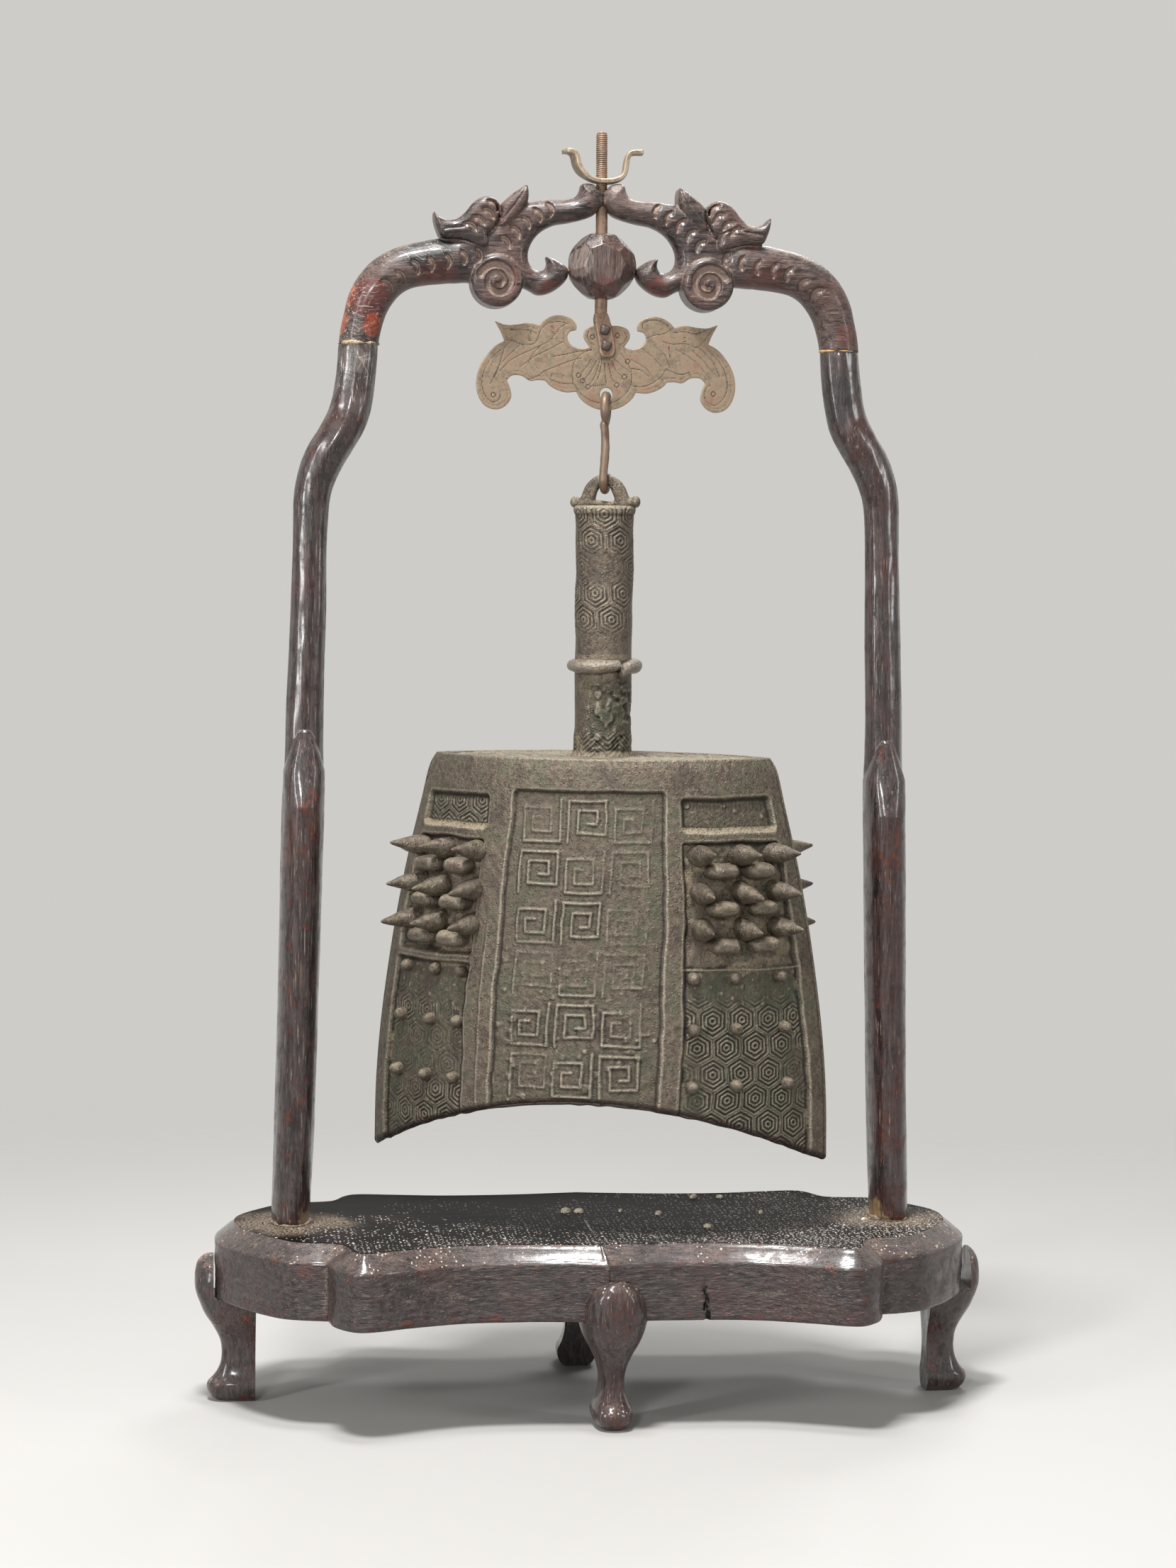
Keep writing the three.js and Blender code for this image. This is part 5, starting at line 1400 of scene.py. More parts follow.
boss_radius, boss_length = 5.6, 23.6
bar_radius, bar_length, bar_straight = 4.2, 9.4, 4.4
nipple_radius, nipple_length, nipple_lift = 3.3, 6.8, 0.05
boss_rows = ((0.235, 0.08), (0.325, -0.04), (0.415, -0.03))  # share of the way down, lift
boss_columns = (0.56, 0.745, 0.895)
bar_columns = (0.657, 0.825)
nipple_rows = (0.535, 0.66, 0.8)
nipple_columns = (0.1, 0.45, 0.84)
bar_drop = 0.039 * bell_height
boss_profile = smooth_line([(1.05, -0.06), (1.0, 0.06), (0.98, 0.16), (0.9, 0.3), (0.74, 0.48),
                            (0.53, 0.66), (0.32, 0.83), (0.17, 0.95), (0.08, 0.99), (0, 1)], 5)
nipple_profile = smooth_line([(1.3, -0.12), (1.08, 0.06), (1.0, 0.3), (0.93, 0.55), (0.72, 0.8),
                              (0.4, 0.95), (0.12, 1.0), (0, 1.01)], 3)
bar_profile = smooth_line([(1.06, -0.4), (1.0, 0.1), (0.97, 0.4), (0.85, 0.68), (0.62, 0.88),
                           (0.35, 0.98), (0.1, 1.0)], 2)
dice = np.random.default_rng(5)


def on_face(across, z, back):
    """A place on a face, with the way across and the way out, before the bell is hung."""
    radius = half_width_at(z) / math.sin(face_angle)
    angle = math.asin(across * math.sin(face_angle))
    out = np.array([math.sin(angle), -math.cos(angle), 0])
    place = np.array([0, radius * math.cos(face_angle), z]) + out * (radius - 3.0)
    side = np.array([math.cos(angle), math.sin(angle), 0])
    turn = np.array([-1, -1, 1]) if back else np.array([1, 1, 1])
    return place * turn, side * turn, out * turn


def studded(across, z, back, profile, radius, length, lift, straight=0):
    """A boss, nipple or bar on the bell's face. A bar is straight along its middle, with round ends."""
    place, side, out = on_face(across, z, back)
    up = np.array([0, 0, 1])
    out = out + up * lift
    out /= np.linalg.norm(out)
    up = np.cross(side, out) * (-1 if np.cross(side, out)[2] < 0 else 1)
    lean = dice.normal(0, 0.03, 2)
    rows = []
    for share, rise in profile:
        angles = ring_angles(32)
        size = max(share, 0.03) * radius
        along = np.cos(angles) * size + np.clip(np.cos(angles) * 2.5, -1, 1) * straight
        ring = np.outer(along, side) + np.outer(np.sin(angles) * size, up)
        spots = (place + ring + out * rise * length) * mm
        worn = 1 + clouds(spots, 5.5, 9) * 0.11
        worn += clouds(spots, 2.0, 10) * 0.05
        middle = place + (out + lean[0] * side + lean[1] * up) * rise * length
        rows.append(middle + ring * worn[:, None])
    return skin(hung(np.array(rows)))


bosses, bars, nipples = [], [], []
for back in (False, True):
    for zone in side_zones:
        way = -1 if zone[0][0] < 0 else 1
        inner_edge, rim_edge = (zone[1], zone[0]) if way < 0 else (zone[0], zone[1])
        for row, lift in boss_rows:
            z = down(row)
            upright = 1 - 0.16 * (row - boss_rows[0][0])
            for column in boss_columns:
                length = boss_length * dice.uniform(0.93, 1.03)
                bosses.append(studded(way * column * upright, z, back, boss_profile, boss_radius, length,
                                      lift))
            for column in bar_columns:
                across = way * column * (upright - 0.01)
                bars.append(studded(across, z - bar_drop, back, bar_profile, bar_radius, bar_length, 0,
                                    bar_straight))
        for row in nipple_rows:
            z = down(row)
            for column in nipple_columns:
                edges = across_at(inner_edge, z), across_at(rim_edge, z)
                across = edges[0] + column * (edges[1] - edges[0])
                nipples.append(studded(across, z, back, nipple_profile, nipple_radius, nipple_length,
                                       nipple_lift))
studs = (("bosses", bosses, bronze("boss_bronze", 0.6, 0.6, 0.25, 0.2), 0.1),
         ("bars", bars, bronze("bar_bronze", 0.9, 0.3, 0.2, 0.3), 0.22),
         ("nipples", nipples, bronze("nipple_bronze", 0.8, 0.4, 0.2, 0.15), 0.25))
for name, parts, material, earthiness in studs:
    make(name, *gather(parts), material, "bell", "bell_bronze", marks=same_earth(earthiness))

# Shank: a stem cast with the bell in the same bronze, with a faint honeycomb on its upper half and
# deep pitting below. A collar is rolled round its middle, and its ends overlap.
shank_radius = 15.2
shank_top = bell_high.z / mm
shank_hexagon_pitch = 95.5 / 6  # six round the shank
collar_middle = shank_top - 84.5
around = 150
angles = ring_angles(around)
levels = np.concatenate([np.arange(top_height - 4, shank_top - 1.6, 0.7),
                         shank_top - np.array([1.2, 0.8, 0.45, 0.2])])
z = np.repeat(levels[:, None], around, axis=1)
turns = np.repeat(angles[None], len(levels), axis=0)
place = np.stack([shank_radius * np.cos(turns), shank_radius * np.sin(turns), z], axis=-1) * mm
u = turns * shank_radius
wear = ramp(clouds(place, 20, 31), -0.8, 0.1)
height = clouds(place, 24, 32) * 0.5 + clouds(place, 7, 33) * 0.16
honeycomb = hexagon_rings(u + z * 0.08, z, shank_hexagon_pitch)
height += 0.8 * honeycomb * ramp(z, collar_middle + 12, collar_middle + 26) * wear
rotten = ramp(z, collar_middle - 4, collar_middle - 10) * ramp(np.sin(turns - 1.0), 0.2, -0.5)
height -= (0.75 * ramp(clouds(place, 3.2, 34), 0.0, 0.5) + 0.22 * clouds(place, 1.4, 37)) * rotten
chevron = np.abs(((u / 7) % 2) - 1) * 6
waves = 0.5 + 0.5 * np.cos((z - chevron) * 2 * math.pi / 2.6)
height += 0.6 * waves * ramp(z, top_height + 15, top_height + 9)
height += 1.6 * ramp(z, top_height + 3, top_height - 1)
height += 0.75 * ramp(np.abs(z - shank_top + 2.6), 2.6, 0.8)
end = held((shank_top - z) / 1.6)
radius = (shank_radius + height - 0.35) * (0.9 + 0.1 * np.sqrt(np.maximum(1 - (1 - end) ** 2, 0)))
shank_rows = np.stack([radius * np.cos(turns), radius * np.sin(turns), z], axis=-1)
shank_earth = (0.15 + 0.5 * ramp(z, collar_middle + 30, collar_middle - 30)
               * ramp(clouds(place, 9, 35), -0.2, 0.5) + 0.6 * ramp(z, shank_top - 3, shank_top - 0.5)
               + 0.5 * ramp(np.abs(z - collar_middle - 5), 2, 0.5)
               + 0.7 * ramp(z, top_height + 4, top_height))
points, faces = skin(hung(shank_rows))
shank_marks = {"earth": np.append(shank_earth.ravel(), [0.3, 0.3]), "lip": 0.0,
               "floor": np.append(1.1 * rotten.ravel(), [0, 0])}
make("shank", points, faces, bronze("shank_bronze", 0.6, 0.85, 0.1), "bell", "bell_bronze",
     marks=shank_marks)

section = ring_angles(22)
meet = math.radians(-48)  # where the collar's ends overlap
middle = shank_radius + 0.9
rows = []
for turn in np.linspace(0, 2 * math.pi, 120, endpoint=False):
    after = ((turn - meet) / (2 * math.pi)) % 1
    droop = -3.2 * math.exp(-after / 0.035) + 0.9 * math.exp(-(1 - after) / 0.05)
    thick = 3.6 + 0.5 * math.sin(turn * 3 + 1) + 0.5 * math.exp(-after / 0.03)
    out = middle + (thick + 0.2) * np.cos(section)
    rise = collar_middle + droop + thick * 0.98 * np.sin(section)
    rows.append(np.stack([out * math.cos(turn), out * math.sin(turn), rise], axis=-1))
rows = np.array(rows + rows[:1])
rows = rows + (clouds(rows * mm, 6, 36) * 0.35)[..., None]
rows[-1] = rows[0]
points, faces = skin(hung(rows[:, ::-1]), low_end=False, high_end=False)
make("collar", points, faces, bronze("collar_bronze", 0.5, 0.7, 0.1, bare=0.45), "bell", "bell_bronze",
     marks=same_earth(0.15))


# Loop: a flat bronze bow with a knob at each foot, brazed across the top of the shank. It hangs on
# the foot of the hook.
def metal_finish(name, dark, light, spots, spot_share, metallic, rough, depth=0.2):
    """Bare old metal: two tones in fine mottling, spots of rust or earth, bright edges that are rubbed and
    also painted as highlights, and painted shade in sunk places and engraved lines.
    """
    metal = Finish(name)
    fine = metal.noise(1.5, 5, shift=(2, 6, 1), rough=0.65)
    broad = metal.noise(9, 4, shift=(7, 1, 5))
    proud, line = metal.mark("proud"), metal.mark("line")
    metal.shade = metal.colour(dark, light, (fine * 0.6 + broad * 0.5).between(0.36, 0.74))
    patch = (broad * 0.6 + fine * 0.5).between(0.64 - 0.2 * spot_share, 0.78 - 0.12 * spot_share)
    metal.lay(spots, patch * 0.85)
    # Raised edges take the light tone: partly rubbed wear, partly a painted highlight.
    rubbed_and_highlit = proud.between(0.015, 0.12)
    metal.lay(light, rubbed_and_highlit * 0.7)
    # Sunk places and engraved lines are laid dark: painted shade.
    dirt = ((0 - proud).between(0.015, 0.12) + line).between(0, 1)
    metal.lay(paint(46, 36, 30), dirt * 0.8)
    return metal.done(metal.shade, rough + fine * 0.12 - rubbed_and_highlit * 0.04, fine, depth, Metallic=metallic)


def tube(line, radii, around):
    """Rings of points round a line, with the ends rounded off."""
    ahead = np.gradient(line, axis=0)
    ahead /= np.linalg.norm(ahead, axis=1)[:, None]
    side = np.cross(ahead[0], [0.3, 0.9, 0.2])
    rows = []
    for i, way in enumerate(ahead):
        side = side - way * (side @ way)
        side /= np.linalg.norm(side)
        up = np.cross(way, side)
        turns = ring_angles(around)
        rows.append(line[i] + radii[i] * (np.outer(np.cos(turns), side) + np.outer(np.sin(turns), up)))
    caps = [(math.sqrt(1 - share * share), share) for share in (0.45, 0.8)]
    low = [line[0] + (rows[0] - line[0]) * cap - ahead[0] * radii[0] * share * 0.6 for cap, share in caps]
    high = [line[-1] + (rows[-1] - line[-1]) * cap + ahead[-1] * radii[-1] * share * 0.6
            for cap, share in caps]
    return np.array(low[::-1] + rows + high)


loop_outer = [
    (-14.2, 0.3, 1), (-13.2, 3.2), (-11.6, 7.2), (-9, 11.4), (-5, 14.8), (0, 16.1),
    (5, 14.9), (9, 11.6), (11.6, 7.4), (13.3, 3.2), (14.2, 0.3, 1),
]
loop_hole = [(-5.2, 3.4), (-3.8, 7.4), (-1.8, 10.0), (1.8, 10.0), (3.8, 7.4), (5.4, 3.4)]
knob_places = [(-16.0, 2.5, 2.5), (16.2, 2.7, 2.7)]  # across, up, radius
knob_stem_start = 10
knob_stem_radius = 1.9
loop_half = 2.75  # half its thickness
loop_foot = shank_top + 0.3
step = 0.45
xs, ys, zs = np.arange(-19.6, 19.6, step), np.arange(-5.4, 5.41, step), np.arange(-1.0, 17.4, step)
flat = np.maximum(inside_of(xs, zs, run_of(loop_outer)), -inside_of(xs, zs, run_of(loop_hole)))
loop_field = plank(flat, ys, loop_half, 1.7)
x, y, z = np.meshgrid(xs, ys, zs, indexing="ij")
for across, up, size in knob_places:
    way = math.copysign(1, across)
    span = abs(across) - knob_stem_start
    share = held((x * way - knob_stem_start) / span)
    beside = x - way * (knob_stem_start + share * span)
    above = z - (knob_stem_radius + share * (up - knob_stem_radius))
    stem = np.linalg.norm(np.stack([beside, y * 0.8, above], -1), axis=-1)
    loop_field = blend(loop_field, stem - (knob_stem_radius + (size - knob_stem_radius) * share ** 2), 1.2)
crack = np.abs(z - 10.3 - 0.2 * (x - 6) + 0.3 * np.sin(x * 3)) - 0.12
loop_field = np.where((x > 3.4) & (x < 11), np.maximum(loop_field, -crack), loop_field)
loop_field = np.maximum(loop_field, -0.02 - z)
points, faces = carve(loop_field, xs, ys, zs)
points[:, 2] += loop_foot - 1.6 * held(1 - points[:, 2] / 8)
points += (clouds(points * mm, 5, 41) * 0.2)[:, None] * [1, 1, 0.5]
make("loop", hung(points).tolist(), faces.tolist(), bronze("loop_bronze", 0.65, 0.7, 0.15), "bell",
     "bell_bronze", ["suspension_loop"], marks=same_earth(0.3))

# Hook: one length of forged iron wire. Its end laps its own stem to close the eye, and its foot
# turns up under the bow of the loop.
hook_low, hook_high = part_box("suspension_hook")
hook_wire = 4.6
eye_radius = 7.7
eye_middle = hook_high.z / mm - eye_radius - hook_wire / 2
foot_radius = 5.7
foot_middle = hook_low.z / mm + hook_wire / 2 + foot_radius
foot_tip = 20  # degrees that the foot turns up past level
eye_start, eye_end = -46, 245  # degrees
eye = []
for turn in range(eye_start, eye_end, 8):
    share = (turn - eye_start) / (eye_end - eye_start)
    along = math.radians(turn)
    eye.append((0.9 - 1.9 * share, -eye_radius * math.cos(along), eye_middle + eye_radius * math.sin(along)))
drop = eye_middle - eye_radius - foot_middle
stem = [(-0.9, 0.9, foot_middle + drop * 0.99), (-0.2, -0.6, foot_middle + drop * 0.82),
        (0.3, -2.2, foot_middle + drop * 0.6), (0.3, -3.8, foot_middle + drop * 0.38),
        (0, -5.2, foot_middle + drop * 0.16)]
foot_bend = [(-0.1, -foot_radius * math.cos(math.radians(turn)),
              foot_middle - foot_radius * math.sin(math.radians(turn)))
             for turn in range(0, 180 + foot_tip + 1, 10)]
wire = evenly(smooth_line(eye + stem + foot_bend, 5), 0.7)
wire_radii = hook_wire / 2 * (0.985 + 0.03 * np.sin(np.arange(len(wire)) / 4.0))
wire_radii[:4] *= [0.8, 0.9, 0.95, 0.98]
rows = tube(wire, wire_radii, 22)
rows += (rows - rows.mean(axis=1, keepdims=True)) * (clouds(rows * mm, 3, 42) * 0.05 - 0.02)[..., None]
points, faces = skin(hung(rows))
rust = metal_finish("hook_iron", paint(62, 48, 40), paint(126, 106, 90), paint(84, 52, 38), 0.75, 0.4, 0.42)
make("hook", points, faces, rust, "hook", "forged_iron", ["suspension_hook"], marks={"line": 0.0})

# Plaque: sheet brass sawn as a bat with spread wings and engraved on its front: a fan under the
# fork, veins and an edge line on the wings, and little stamped rings. It is riveted to the rod.
plaque_low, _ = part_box("bat_plaque")
plaque_hole = (hang_shift / mm, plaque_low.z / mm + 8.9)
plaque_hole_radius = 3.35
plaque_half = 68.6
plaque_shares = [  # of the half width, across and up from the hole, 1 at a corner
    (0.0, 0.52), (0.101, 0.519), (0.165, 0.49), (0.178, 0.431), (0.136, 0.362, 1),
    (0.175, 0.346), (0.23, 0.35), (0.282, 0.38), (0.303, 0.43), (0.285, 0.468), (0.236, 0.483, 1),
    (0.233, 0.515), (0.27, 0.568), (0.345, 0.595), (0.42, 0.588), (0.48, 0.555),
    (0.52, 0.517, 1), (0.6, 0.533), (0.69, 0.518), (0.78, 0.515), (0.862, 0.543, 1),
    (0.82, 0.47), (0.787, 0.392, 1), (0.86, 0.35), (0.935, 0.265), (0.985, 0.165),
    (1, 0.06), (0.975, -0.045), (0.92, -0.11), (0.84, -0.13), (0.772, -0.1),
    (0.73, -0.035), (0.738, 0.03), (0.765, 0.095, 1), (0.725, 0.13), (0.65, 0.128),
    (0.587, 0.092), (0.53, 0.098), (0.47, 0.096, 1), (0.44, 0.062), (0.38, 0.027),
    (0.31, 0.008), (0.23, 0.014, 1), (0.2, -0.035), (0.14, -0.085), (0.07, -0.115),
    (0, -0.124),
]
plaque_lines = [  # in mm from the hole
    [(-50.8, 32.8), (-45.2, 33), (-40.5, 32.6), (-37, 30.9)],
    [(-53.1, 27.5), (-49.9, 27.3), (-46.1, 25.6), (-41.5, 25), (-37.7, 26.1), (-36.3, 28.9),
     (-34.9, 32.6), (-33.1, 34.9), (-29.4, 36.8), (-24.7, 37.3), (-20, 36.3)],
    [(-29.4, 28), (-27.5, 30.3), (-24.7, 34), (-21, 36.8)],
    [(-61, 4.7), (-57.8, 10.3), (-53.6, 23.3), (-50.3, 27)],
    [(-59.6, 7), (-56.4, 14), (-48.5, 22.4), (-45.2, 25.2)],
    [(-56.4, 11.2), (-49.9, 17.2), (-35.9, 24.2), (-30.3, 27)],
    [(-45.2, 13.5), (-37.7, 19.1), (-31.2, 22.4), (-22.8, 27)],
    [(-41.5, 14.9), (-39.6, 19.1), (-36.3, 23.3), (-34, 25.2)],
    [(-33.1, 11.2), (-26.6, 14), (-18.2, 17.2), (-13.5, 18.6)],
    [(-28.4, 19.1), (-21, 20.5), (-15.4, 21.9), (-7.9, 22.8)],
    [(-53, 24), (-60, 18.5), (-64.5, 11), (-65.4, 3), (-63.2, -2.6), (-59.8, -5), (-56.4, -3.8), (-56, -0.8)],
    [(-53.1, 7.2), (-47.1, 6.6), (-39.6, 7.4), (-34.5, 9.8), (-33.1, 10.9), (-30.3, 7.8), (-24.7, 5.4),
     (-17.6, 5.2)],
    [(-17.4, 4.6), (-17.9, 10.3), (-17.2, 15.8), (-13.5, 20.5), (-7.9, 23.3)],
    [(-16.8, 4.7), (-13.5, 0), (-7.9, -3.6), (-2.3, -4.9), (3, -4.6), (9.3, -1), (12.8, 4.2), (13.4, 10.3),
     (11, 16.4), (7.4, 21.6)],
    [(-7.9, 18.2), (-9.8, 14.9), (-12.1, 12.1), (-14.4, 8.4)],
    [(-5.1, 17.7), (-7.5, 13), (-9.8, 9.3), (-12.6, 6.5)],
    [(-3.7, 17.2), (-4.7, 13), (-6.5, 8.4), (-8.9, 4.7)], [(-2.6, 16.8), (-3.3, 12.1), (-4.7, 7.5)],
    [(-0.9, 16.3), (-0.7, 11.2), (0, 5.6)], [(0.9, 16.8), (1.9, 12.1), (3.3, 7.5), (5.6, 5.9)],
    [(2.8, 17.7), (4.7, 13), (7, 10.3), (9, 9.2)], [(4.2, 18.6), (7, 15.8), (10.3, 13.5), (12.6, 11.7)],
    [(13, 18.2), (20, 14.4), (24.7, 9.3)], [(13, 13.5), (18.6, 12.6), (22.8, 9.3)],
    [(18.6, 24.2), (24.7, 19.6), (30.3, 14)], [(24.7, 26.1), (30.3, 21.4), (33.6, 14.9)],
    [(33.1, 25.2), (33.6, 19.6)],
    [(36.8, 24.2), (47.1, 17.7), (54.5, 9.3)], [(43.3, 25.2), (50.8, 18.6), (57.3, 11.2)],
    [(48, 26.1), (56.4, 17.7), (60.1, 10.3)], [(21, 29.4), (25.6, 31.2), (30.8, 32.1), (35, 35)],
    [(35, 32.6), (41.5, 33.1), (47.1, 32.2), (54.5, 34.9)],
    [(29.4, 28), (35, 26.6), (41.5, 27), (48, 25.2), (52.6, 29.8), (56, 34.5)],
    [(18.8, 34.9), (19.3, 37.2), (22.5, 38.8), (27.5, 38.8), (31.5, 37), (33.4, 34.4)],
    [(13, 4.6), (18.6, 4), (24.7, 6.1), (29.9, 10.3), (31.3, 13.5)],
    [(31.7, 13.6), (35, 12.1), (40, 10.8), (44.3, 12)],
    [(53, 24.4), (58.5, 19.5), (63, 12), (64.2, 4), (62, -2), (57.8, -5), (53.6, -3.3), (52.2, 0),
     (52.9, 3.6), (55.4, 5.6)],
    [(-9.4, 32.6), (-10.2, 30), (-8.8, 27), (-6.2, 25.6)], [(9.4, 32.6), (10.4, 30), (9, 27), (6.6, 25.6)],
]
plaque_rings = [(-7.5, 29.6), (5.6, 30.7), (11.2, 17.1), (9.6, 9.1), (5.6, 4.7), (-9.6, 3.5), (-12.4, 6.7),
                (-14.6, 9.5), (-59.4, -1.4), (56.9, 0.8)]
plaque_combs = [  # first tick, last tick, way of a tick, number
    ((-41.5, 31.7), (-41.2, 27.2), (1.6, 0.2), 6), ((-29.6, 34.8), (-28.8, 29.9), (1.6, 0.2), 6),
    ((-28.4, 10.6), (-22.2, 9.6), (-0.9, -2.0), 9), ((-8.2, 3.6), (-0.6, 4.4), (0.1, 0.7), 12),
    ((-2.6, 17.4), (1.6, 17.6), (0, 1.4), 6), ((40.4, 31.3), (40.8, 28.2), (1.6, 0), 4),
]
ring_radius = 1.15
line_width = 0.34
line_depth = 0.24
half_thickness = 0.8
sheet_round = 0.35  # of its edges
sheet_step = 0.42


def plaque_flat(xs, zs):
    """Signed distance to the sheet's outline and hole, and how deep it is engraved, 0 to 1."""
    outline = run_of(plaque_shares + [(-p[0], *p[1:]) for p in plaque_shares[-2:0:-1]])
    sheet = inside_of(xs, zs, outline * plaque_half)
    cut = np.zeros(sheet.shape)
    for line in plaque_lines:
        away, _ = distances(xs, zs, smooth_line(line, 6))
        cut = np.maximum(cut, 1 - away / line_width)
    x, z = np.meshgrid(xs, zs, indexing="ij")
    for across, up in plaque_rings:
        cut = np.maximum(cut, 1.25 - np.abs(np.hypot(x - across, z - up) - ring_radius) / line_width)
    for first, last, way, count in plaque_combs:
        for share in np.linspace(0, 1, count):
            start = np.array(first) + (np.array(last) - np.array(first)) * share
            away, _ = distances(xs, zs, np.array([start, start + np.array(way)]))
            cut = np.maximum(cut, 0.9 - away / line_width)
    border = np.abs(sheet + 2.1) / line_width
    cut = np.maximum(cut, (0.6 - border) * (np.abs(x) > 19))
    return np.maximum(sheet, plaque_hole_radius - np.hypot(x, z)), held(cut)


xs, zs = np.arange(-70.2, 70.2, sheet_step), np.arange(-10.5, 42.6, sheet_step)
ys = np.array([-1.15, -0.95, -0.75, -0.55, -0.2, 0.2, 0.55, 0.75, 0.95, 1.15])
sheet, cut = plaque_flat(xs, zs)
deep = np.abs(ys)[None, :, None] - half_thickness + line_depth * cut[:, None, :] * (ys < 0)[None, :, None]
rounded = np.hypot(np.maximum(sheet[:, None, :] + sheet_round, 0), np.maximum(deep + sheet_round, 0))
plaque_field = np.maximum(np.maximum(sheet[:, None, :], deep), rounded - sheet_round)
points, faces = carve(plaque_field, xs, ys, zs)
column = np.clip(((points[:, 0] - xs[0]) / sheet_step).round().astype(int), 0, len(xs) - 1)
row = np.clip(((points[:, 2] - zs[0]) / sheet_step).round().astype(int), 0, len(zs) - 1)
line_mark = cut[column, row] * (points[:, 1] < 0)
points[:, 1] += clouds(points * mm, 34, 51) * 0.12
points = (points + [plaque_hole[0], 0, plaque_hole[1]]) * mm
plaque_metal = metal_finish("plaque_metal", paint(112, 98, 82), paint(162, 144, 121), paint(130, 96, 80),
                            0.55, 0.45, 0.5, 0.12)
make("bat", points.tolist(), faces.tolist(), plaque_metal, "rod", "plaque_sheet", ["bat_plaque"], rounds=3,
     marks={"line": line_mark})

# Rod: round iron bar, threaded at the top, and hammered flat and split below into a fork that
# takes the plaque between its tongues. Two iron rivets with hammered heads hold the plaque there.
rod_low, rod_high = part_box("threaded_rod")
rod_radius = 3.12
thread_pitch = 1.08
thread_depth = 0.36
thread_start, thread_full = 628, 640  # heights in mm
swell_start, swell_full = 592, 582  # where the rod grows thicker towards the fork
rod_lean = 0.45
rod_sides = 40
rod_top = rod_high.z / mm
fork_bottom = rod_low.z / mm
fork_top = fork_bottom + 23
turns = ring_angles(rod_sides)
levels = np.arange(fork_top - 2, rod_top - 0.02, thread_pitch / 8)
z = np.repeat(levels[:, None], rod_sides, axis=1)
phase = (z / thread_pitch - turns[None] / (2 * math.pi)) % 1
crest = 1 - np.abs(phase * 2 - 1)
threaded = ramp(z, thread_start, thread_full)
radius = rod_radius - threaded * thread_depth * (1 - crest) ** 0.8
radius += 0.22 * ramp(z, swell_start, swell_full)
radius -= 0.08 * (clouds(np.stack([radius * np.cos(turns), radius * np.sin(turns), z], -1) * mm, 2, 61) + 0.5)
end = held((rod_top - z) / 2.6)
radius *= 0.6 + 0.4 * np.sqrt(1 - (1 - end) ** 2)
lean = -rod_lean * ramp(z, 600, rod_top)
rod_rows = np.stack([radius * np.cos(turns) + lean, radius * np.sin(turns), z], axis=-1)
points, faces = skin(rod_rows * mm)
rod_iron = metal_finish("rod_iron", paint(92, 72, 58), paint(164, 138, 116), paint(94, 58, 42), 0.6, 0.35,
                        0.5)
make("rod", points, faces, rod_iron, "rod", "forged_iron", ["threaded_rod"], rounds=2, marks={"line": 0.0})

fork_outline = [  # of the front tongue, in mm from the rod's middle and the fork's foot
    (-3.1, 22.9, 1), (-3.25, 20), (-2.2, 11), (-1.15, 5.2), (-0.7, 2.4), (0.9, 0.35),
    (3.3, 0.05), (5.9, 0.5), (7.3, 2.6), (7.35, 6), (6.2, 12), (4.2, 20), (3.1, 22.9, 1),
]
back_outline = [
    (-3.1, 22.9, 1), (-3.6, 20), (-3.3, 16.5), (-2.4, 12), (-1.2, 6.2), (0.2, 2.6),
    (3.1, 1.2), (6.2, 2.2), (7.6, 5), (7.9, 9.5), (6.7, 15), (4.4, 20.5), (3.1, 22.9, 1),
]
tongue_gap = 2.2
tongue = 2.2
fork_step = 0.33
xs, zs = np.arange(-5, 9.4, fork_step), np.arange(-1, 25.4, fork_step)
ys = np.arange(-4.2, 4.21, 0.3)
middle = tongue_gap / 2 + tongue / 2
fork_flat = inside_of(xs, zs, run_of(fork_outline))
front = plank(fork_flat, ys + middle, tongue / 2, 0.9)
behind = plank(inside_of(xs, zs, run_of(back_outline)), ys - middle, tongue / 2, 0.7)
y, z = np.meshgrid(ys, zs, indexing="ij")
root = np.maximum(fork_flat[:, None, :], np.maximum(np.abs(y)[None] - 3.1, 18.6 - z[None]))
fork_field = blend(np.minimum(front, behind), root, 0.8)
points, faces = carve(fork_field, xs, ys, zs)
points[:, 2] += fork_bottom
points += (clouds(points * mm, 4, 62) * 0.12)[:, None]
make("fork", (points * mm).tolist(), faces.tolist(), rod_iron, "rod", "forged_iron", rounds=4,
     marks={"line": 0.0})

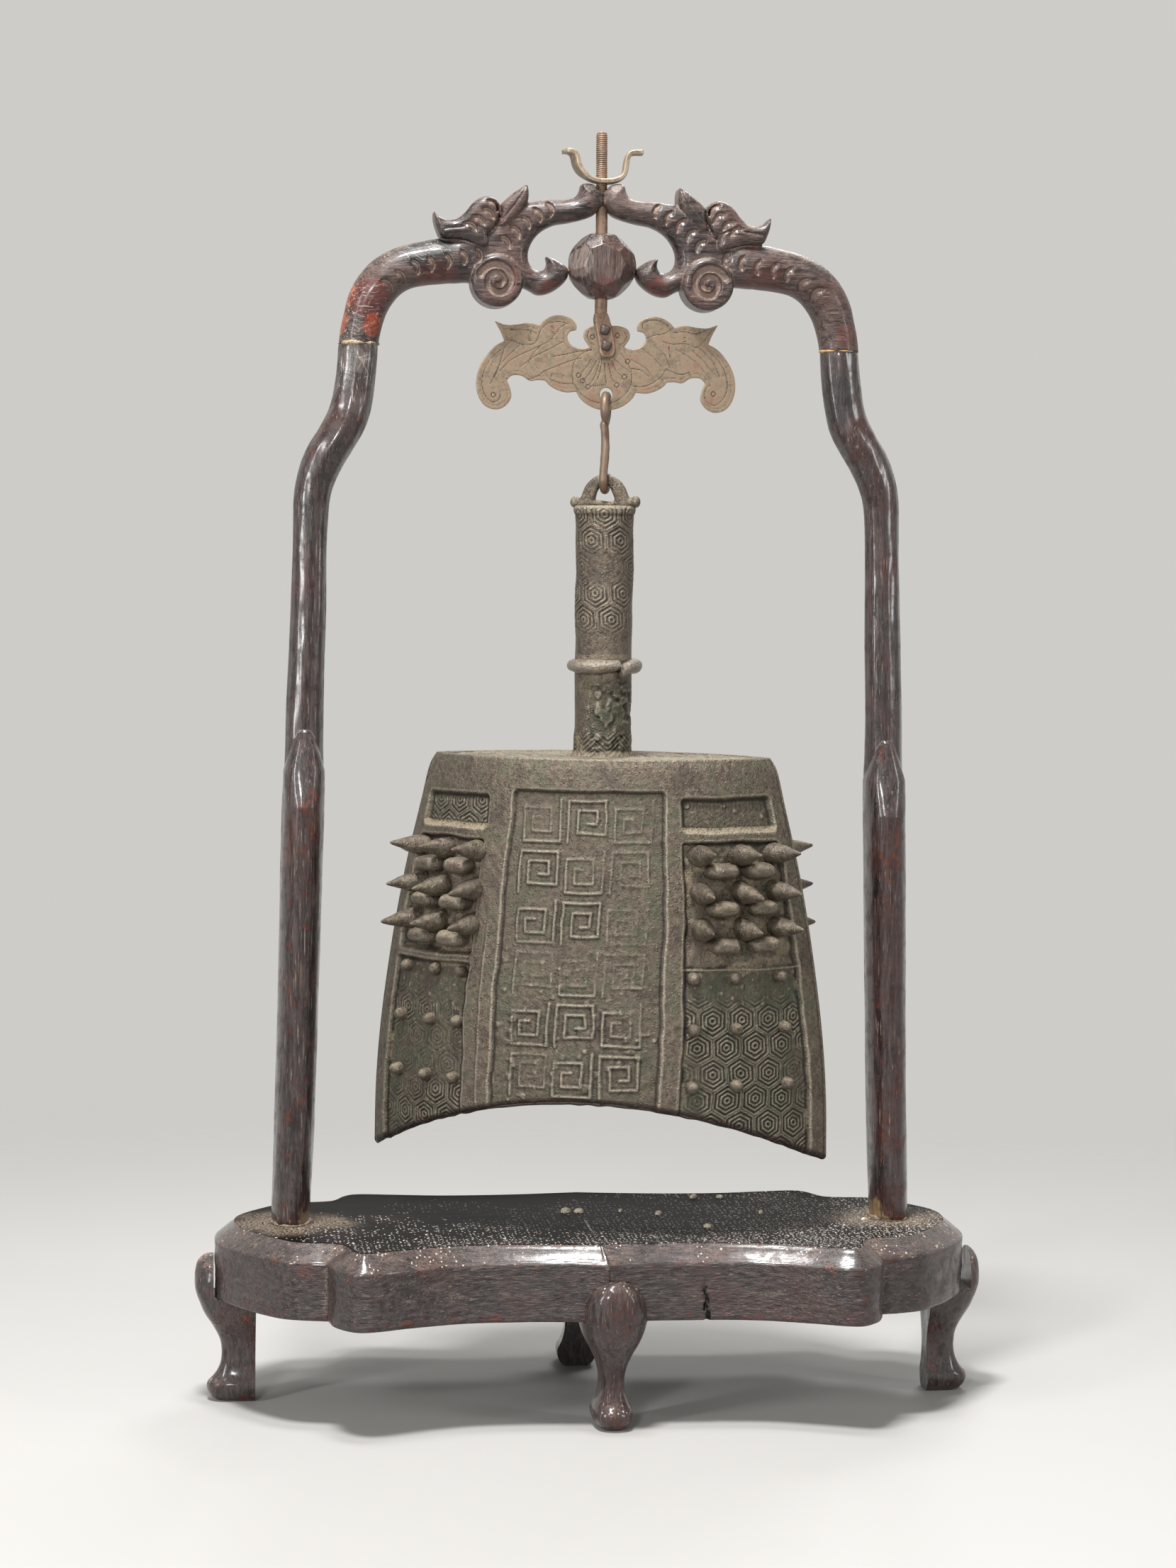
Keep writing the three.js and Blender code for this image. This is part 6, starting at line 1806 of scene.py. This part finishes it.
rivet_iron = metal_finish("rivet_iron", paint(48, 40, 38), paint(92, 80, 74), paint(84, 60, 46), 0.5, 0.5,
                          0.45)
rivet_radius = 2.9 * mm
rivet_sides = 24
rivet_profile = ((0.001, 1.0), (0.55, 0.98), (0.82, 0.86), (1.0, 0.7), (1.0, 0.62), (0.48, 0.6), (0.48, 0))
for name, spin in (("upper", 20), ("lower", 5)):
    low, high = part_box(f"rivet_{name}")
    middle = (low + high) / 2
    half = (high.y - low.y) / 2
    rows = []
    for share, rise in rivet_profile:
        turns = ring_angles(rivet_sides) + math.radians(spin)
        flat = (np.abs(np.cos(turns)) ** 5 + np.abs(np.sin(turns)) ** 5) ** (-1 / 5) * 0.9
        flat *= 1 + 0.06 * np.sin(turns * 3)
        size = share * flat * rivet_radius
        rows.append(np.stack([middle.x + size * np.cos(turns - 0.3), np.full(rivet_sides, -half * rise),
                              middle.z + size * np.sin(turns - 0.3)], axis=-1))
    rows += [row * [1, -1, 1] for row in rows[-2::-1]]
    points, faces = skin(np.array(rows)[:, ::-1])
    make(f"rivet_head_{name}", points, faces, rivet_iron, "rod", "forged_iron", [f"rivet_{name}"], rounds=2,
         marks={"line": 0.0})

# Wing nut: a thick strip of brass bent up into two wings whose ends turn out flat, tapped through
# its middle. It stands on the crest and carries everything that hangs.
nut_low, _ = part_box("wing_nut")
nut_line = [  # across and up, in mm from the middle of its seat
    (-19.9, 16.7), (-17.8, 16.7), (-15.7, 15.8), (-14.4, 13.4), (-13.7, 10.2), (-12, 7.0), (-9, 4.2),
    (-5.2, 2.2), (-1.3, 1.45), (2.5, 1.4), (6.3, 1.9), (10.1, 3.6), (11.7, 6.2), (12.3, 10), (12.9, 13.4),
    (14.3, 15.9), (16.6, 16.6), (21.0, 16.7),
]
strip_half = 1.3  # half the thickness of the strip
strip_deep = 5.4  # half its depth, front to back
strip_sides = 36
line = evenly(smooth_line(nut_line, 8), 0.6)
ahead = np.gradient(line, axis=0)
ahead /= np.linalg.norm(ahead, axis=1)[:, None]
rows = []
for (x, z), (dx, dz) in zip(line, ahead):
    turns = ring_angles(strip_sides)
    flat = (np.abs(np.cos(turns)) ** 7 + np.abs(np.sin(turns)) ** 7) ** (-1 / 7)
    wide = strip_deep * (0.86 + 0.14 * ramp(abs(x), 16, 9)) * np.cos(turns) * flat
    thick = strip_half * np.sin(turns) * flat
    twist = 0.24 * ramp(-x, 7, 12) * wide
    rows.append(np.stack([x - dz * thick - twist, wide, z + dx * thick], axis=-1))
rows = np.array(rows)
rows += (clouds(rows * mm, 7, 71) * 0.12)[..., None]
rows = rows * mm + [0, 0, nut_low.z]
rows[..., 2] = np.maximum(rows[..., 2], nut_low.z)
points, faces = skin(rows)
nut_metal = metal_finish("nut_metal", paint(110, 97, 81), paint(172, 156, 134), paint(106, 84, 64), 0.4, 0.5,
                         0.42)
make("wings", points, faces, nut_metal, "nut", "nut_metal", ["wing_nut"], rounds=3, marks={"line": 0.0})

size = [list(corner) for corner in (*cad_box, *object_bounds())]
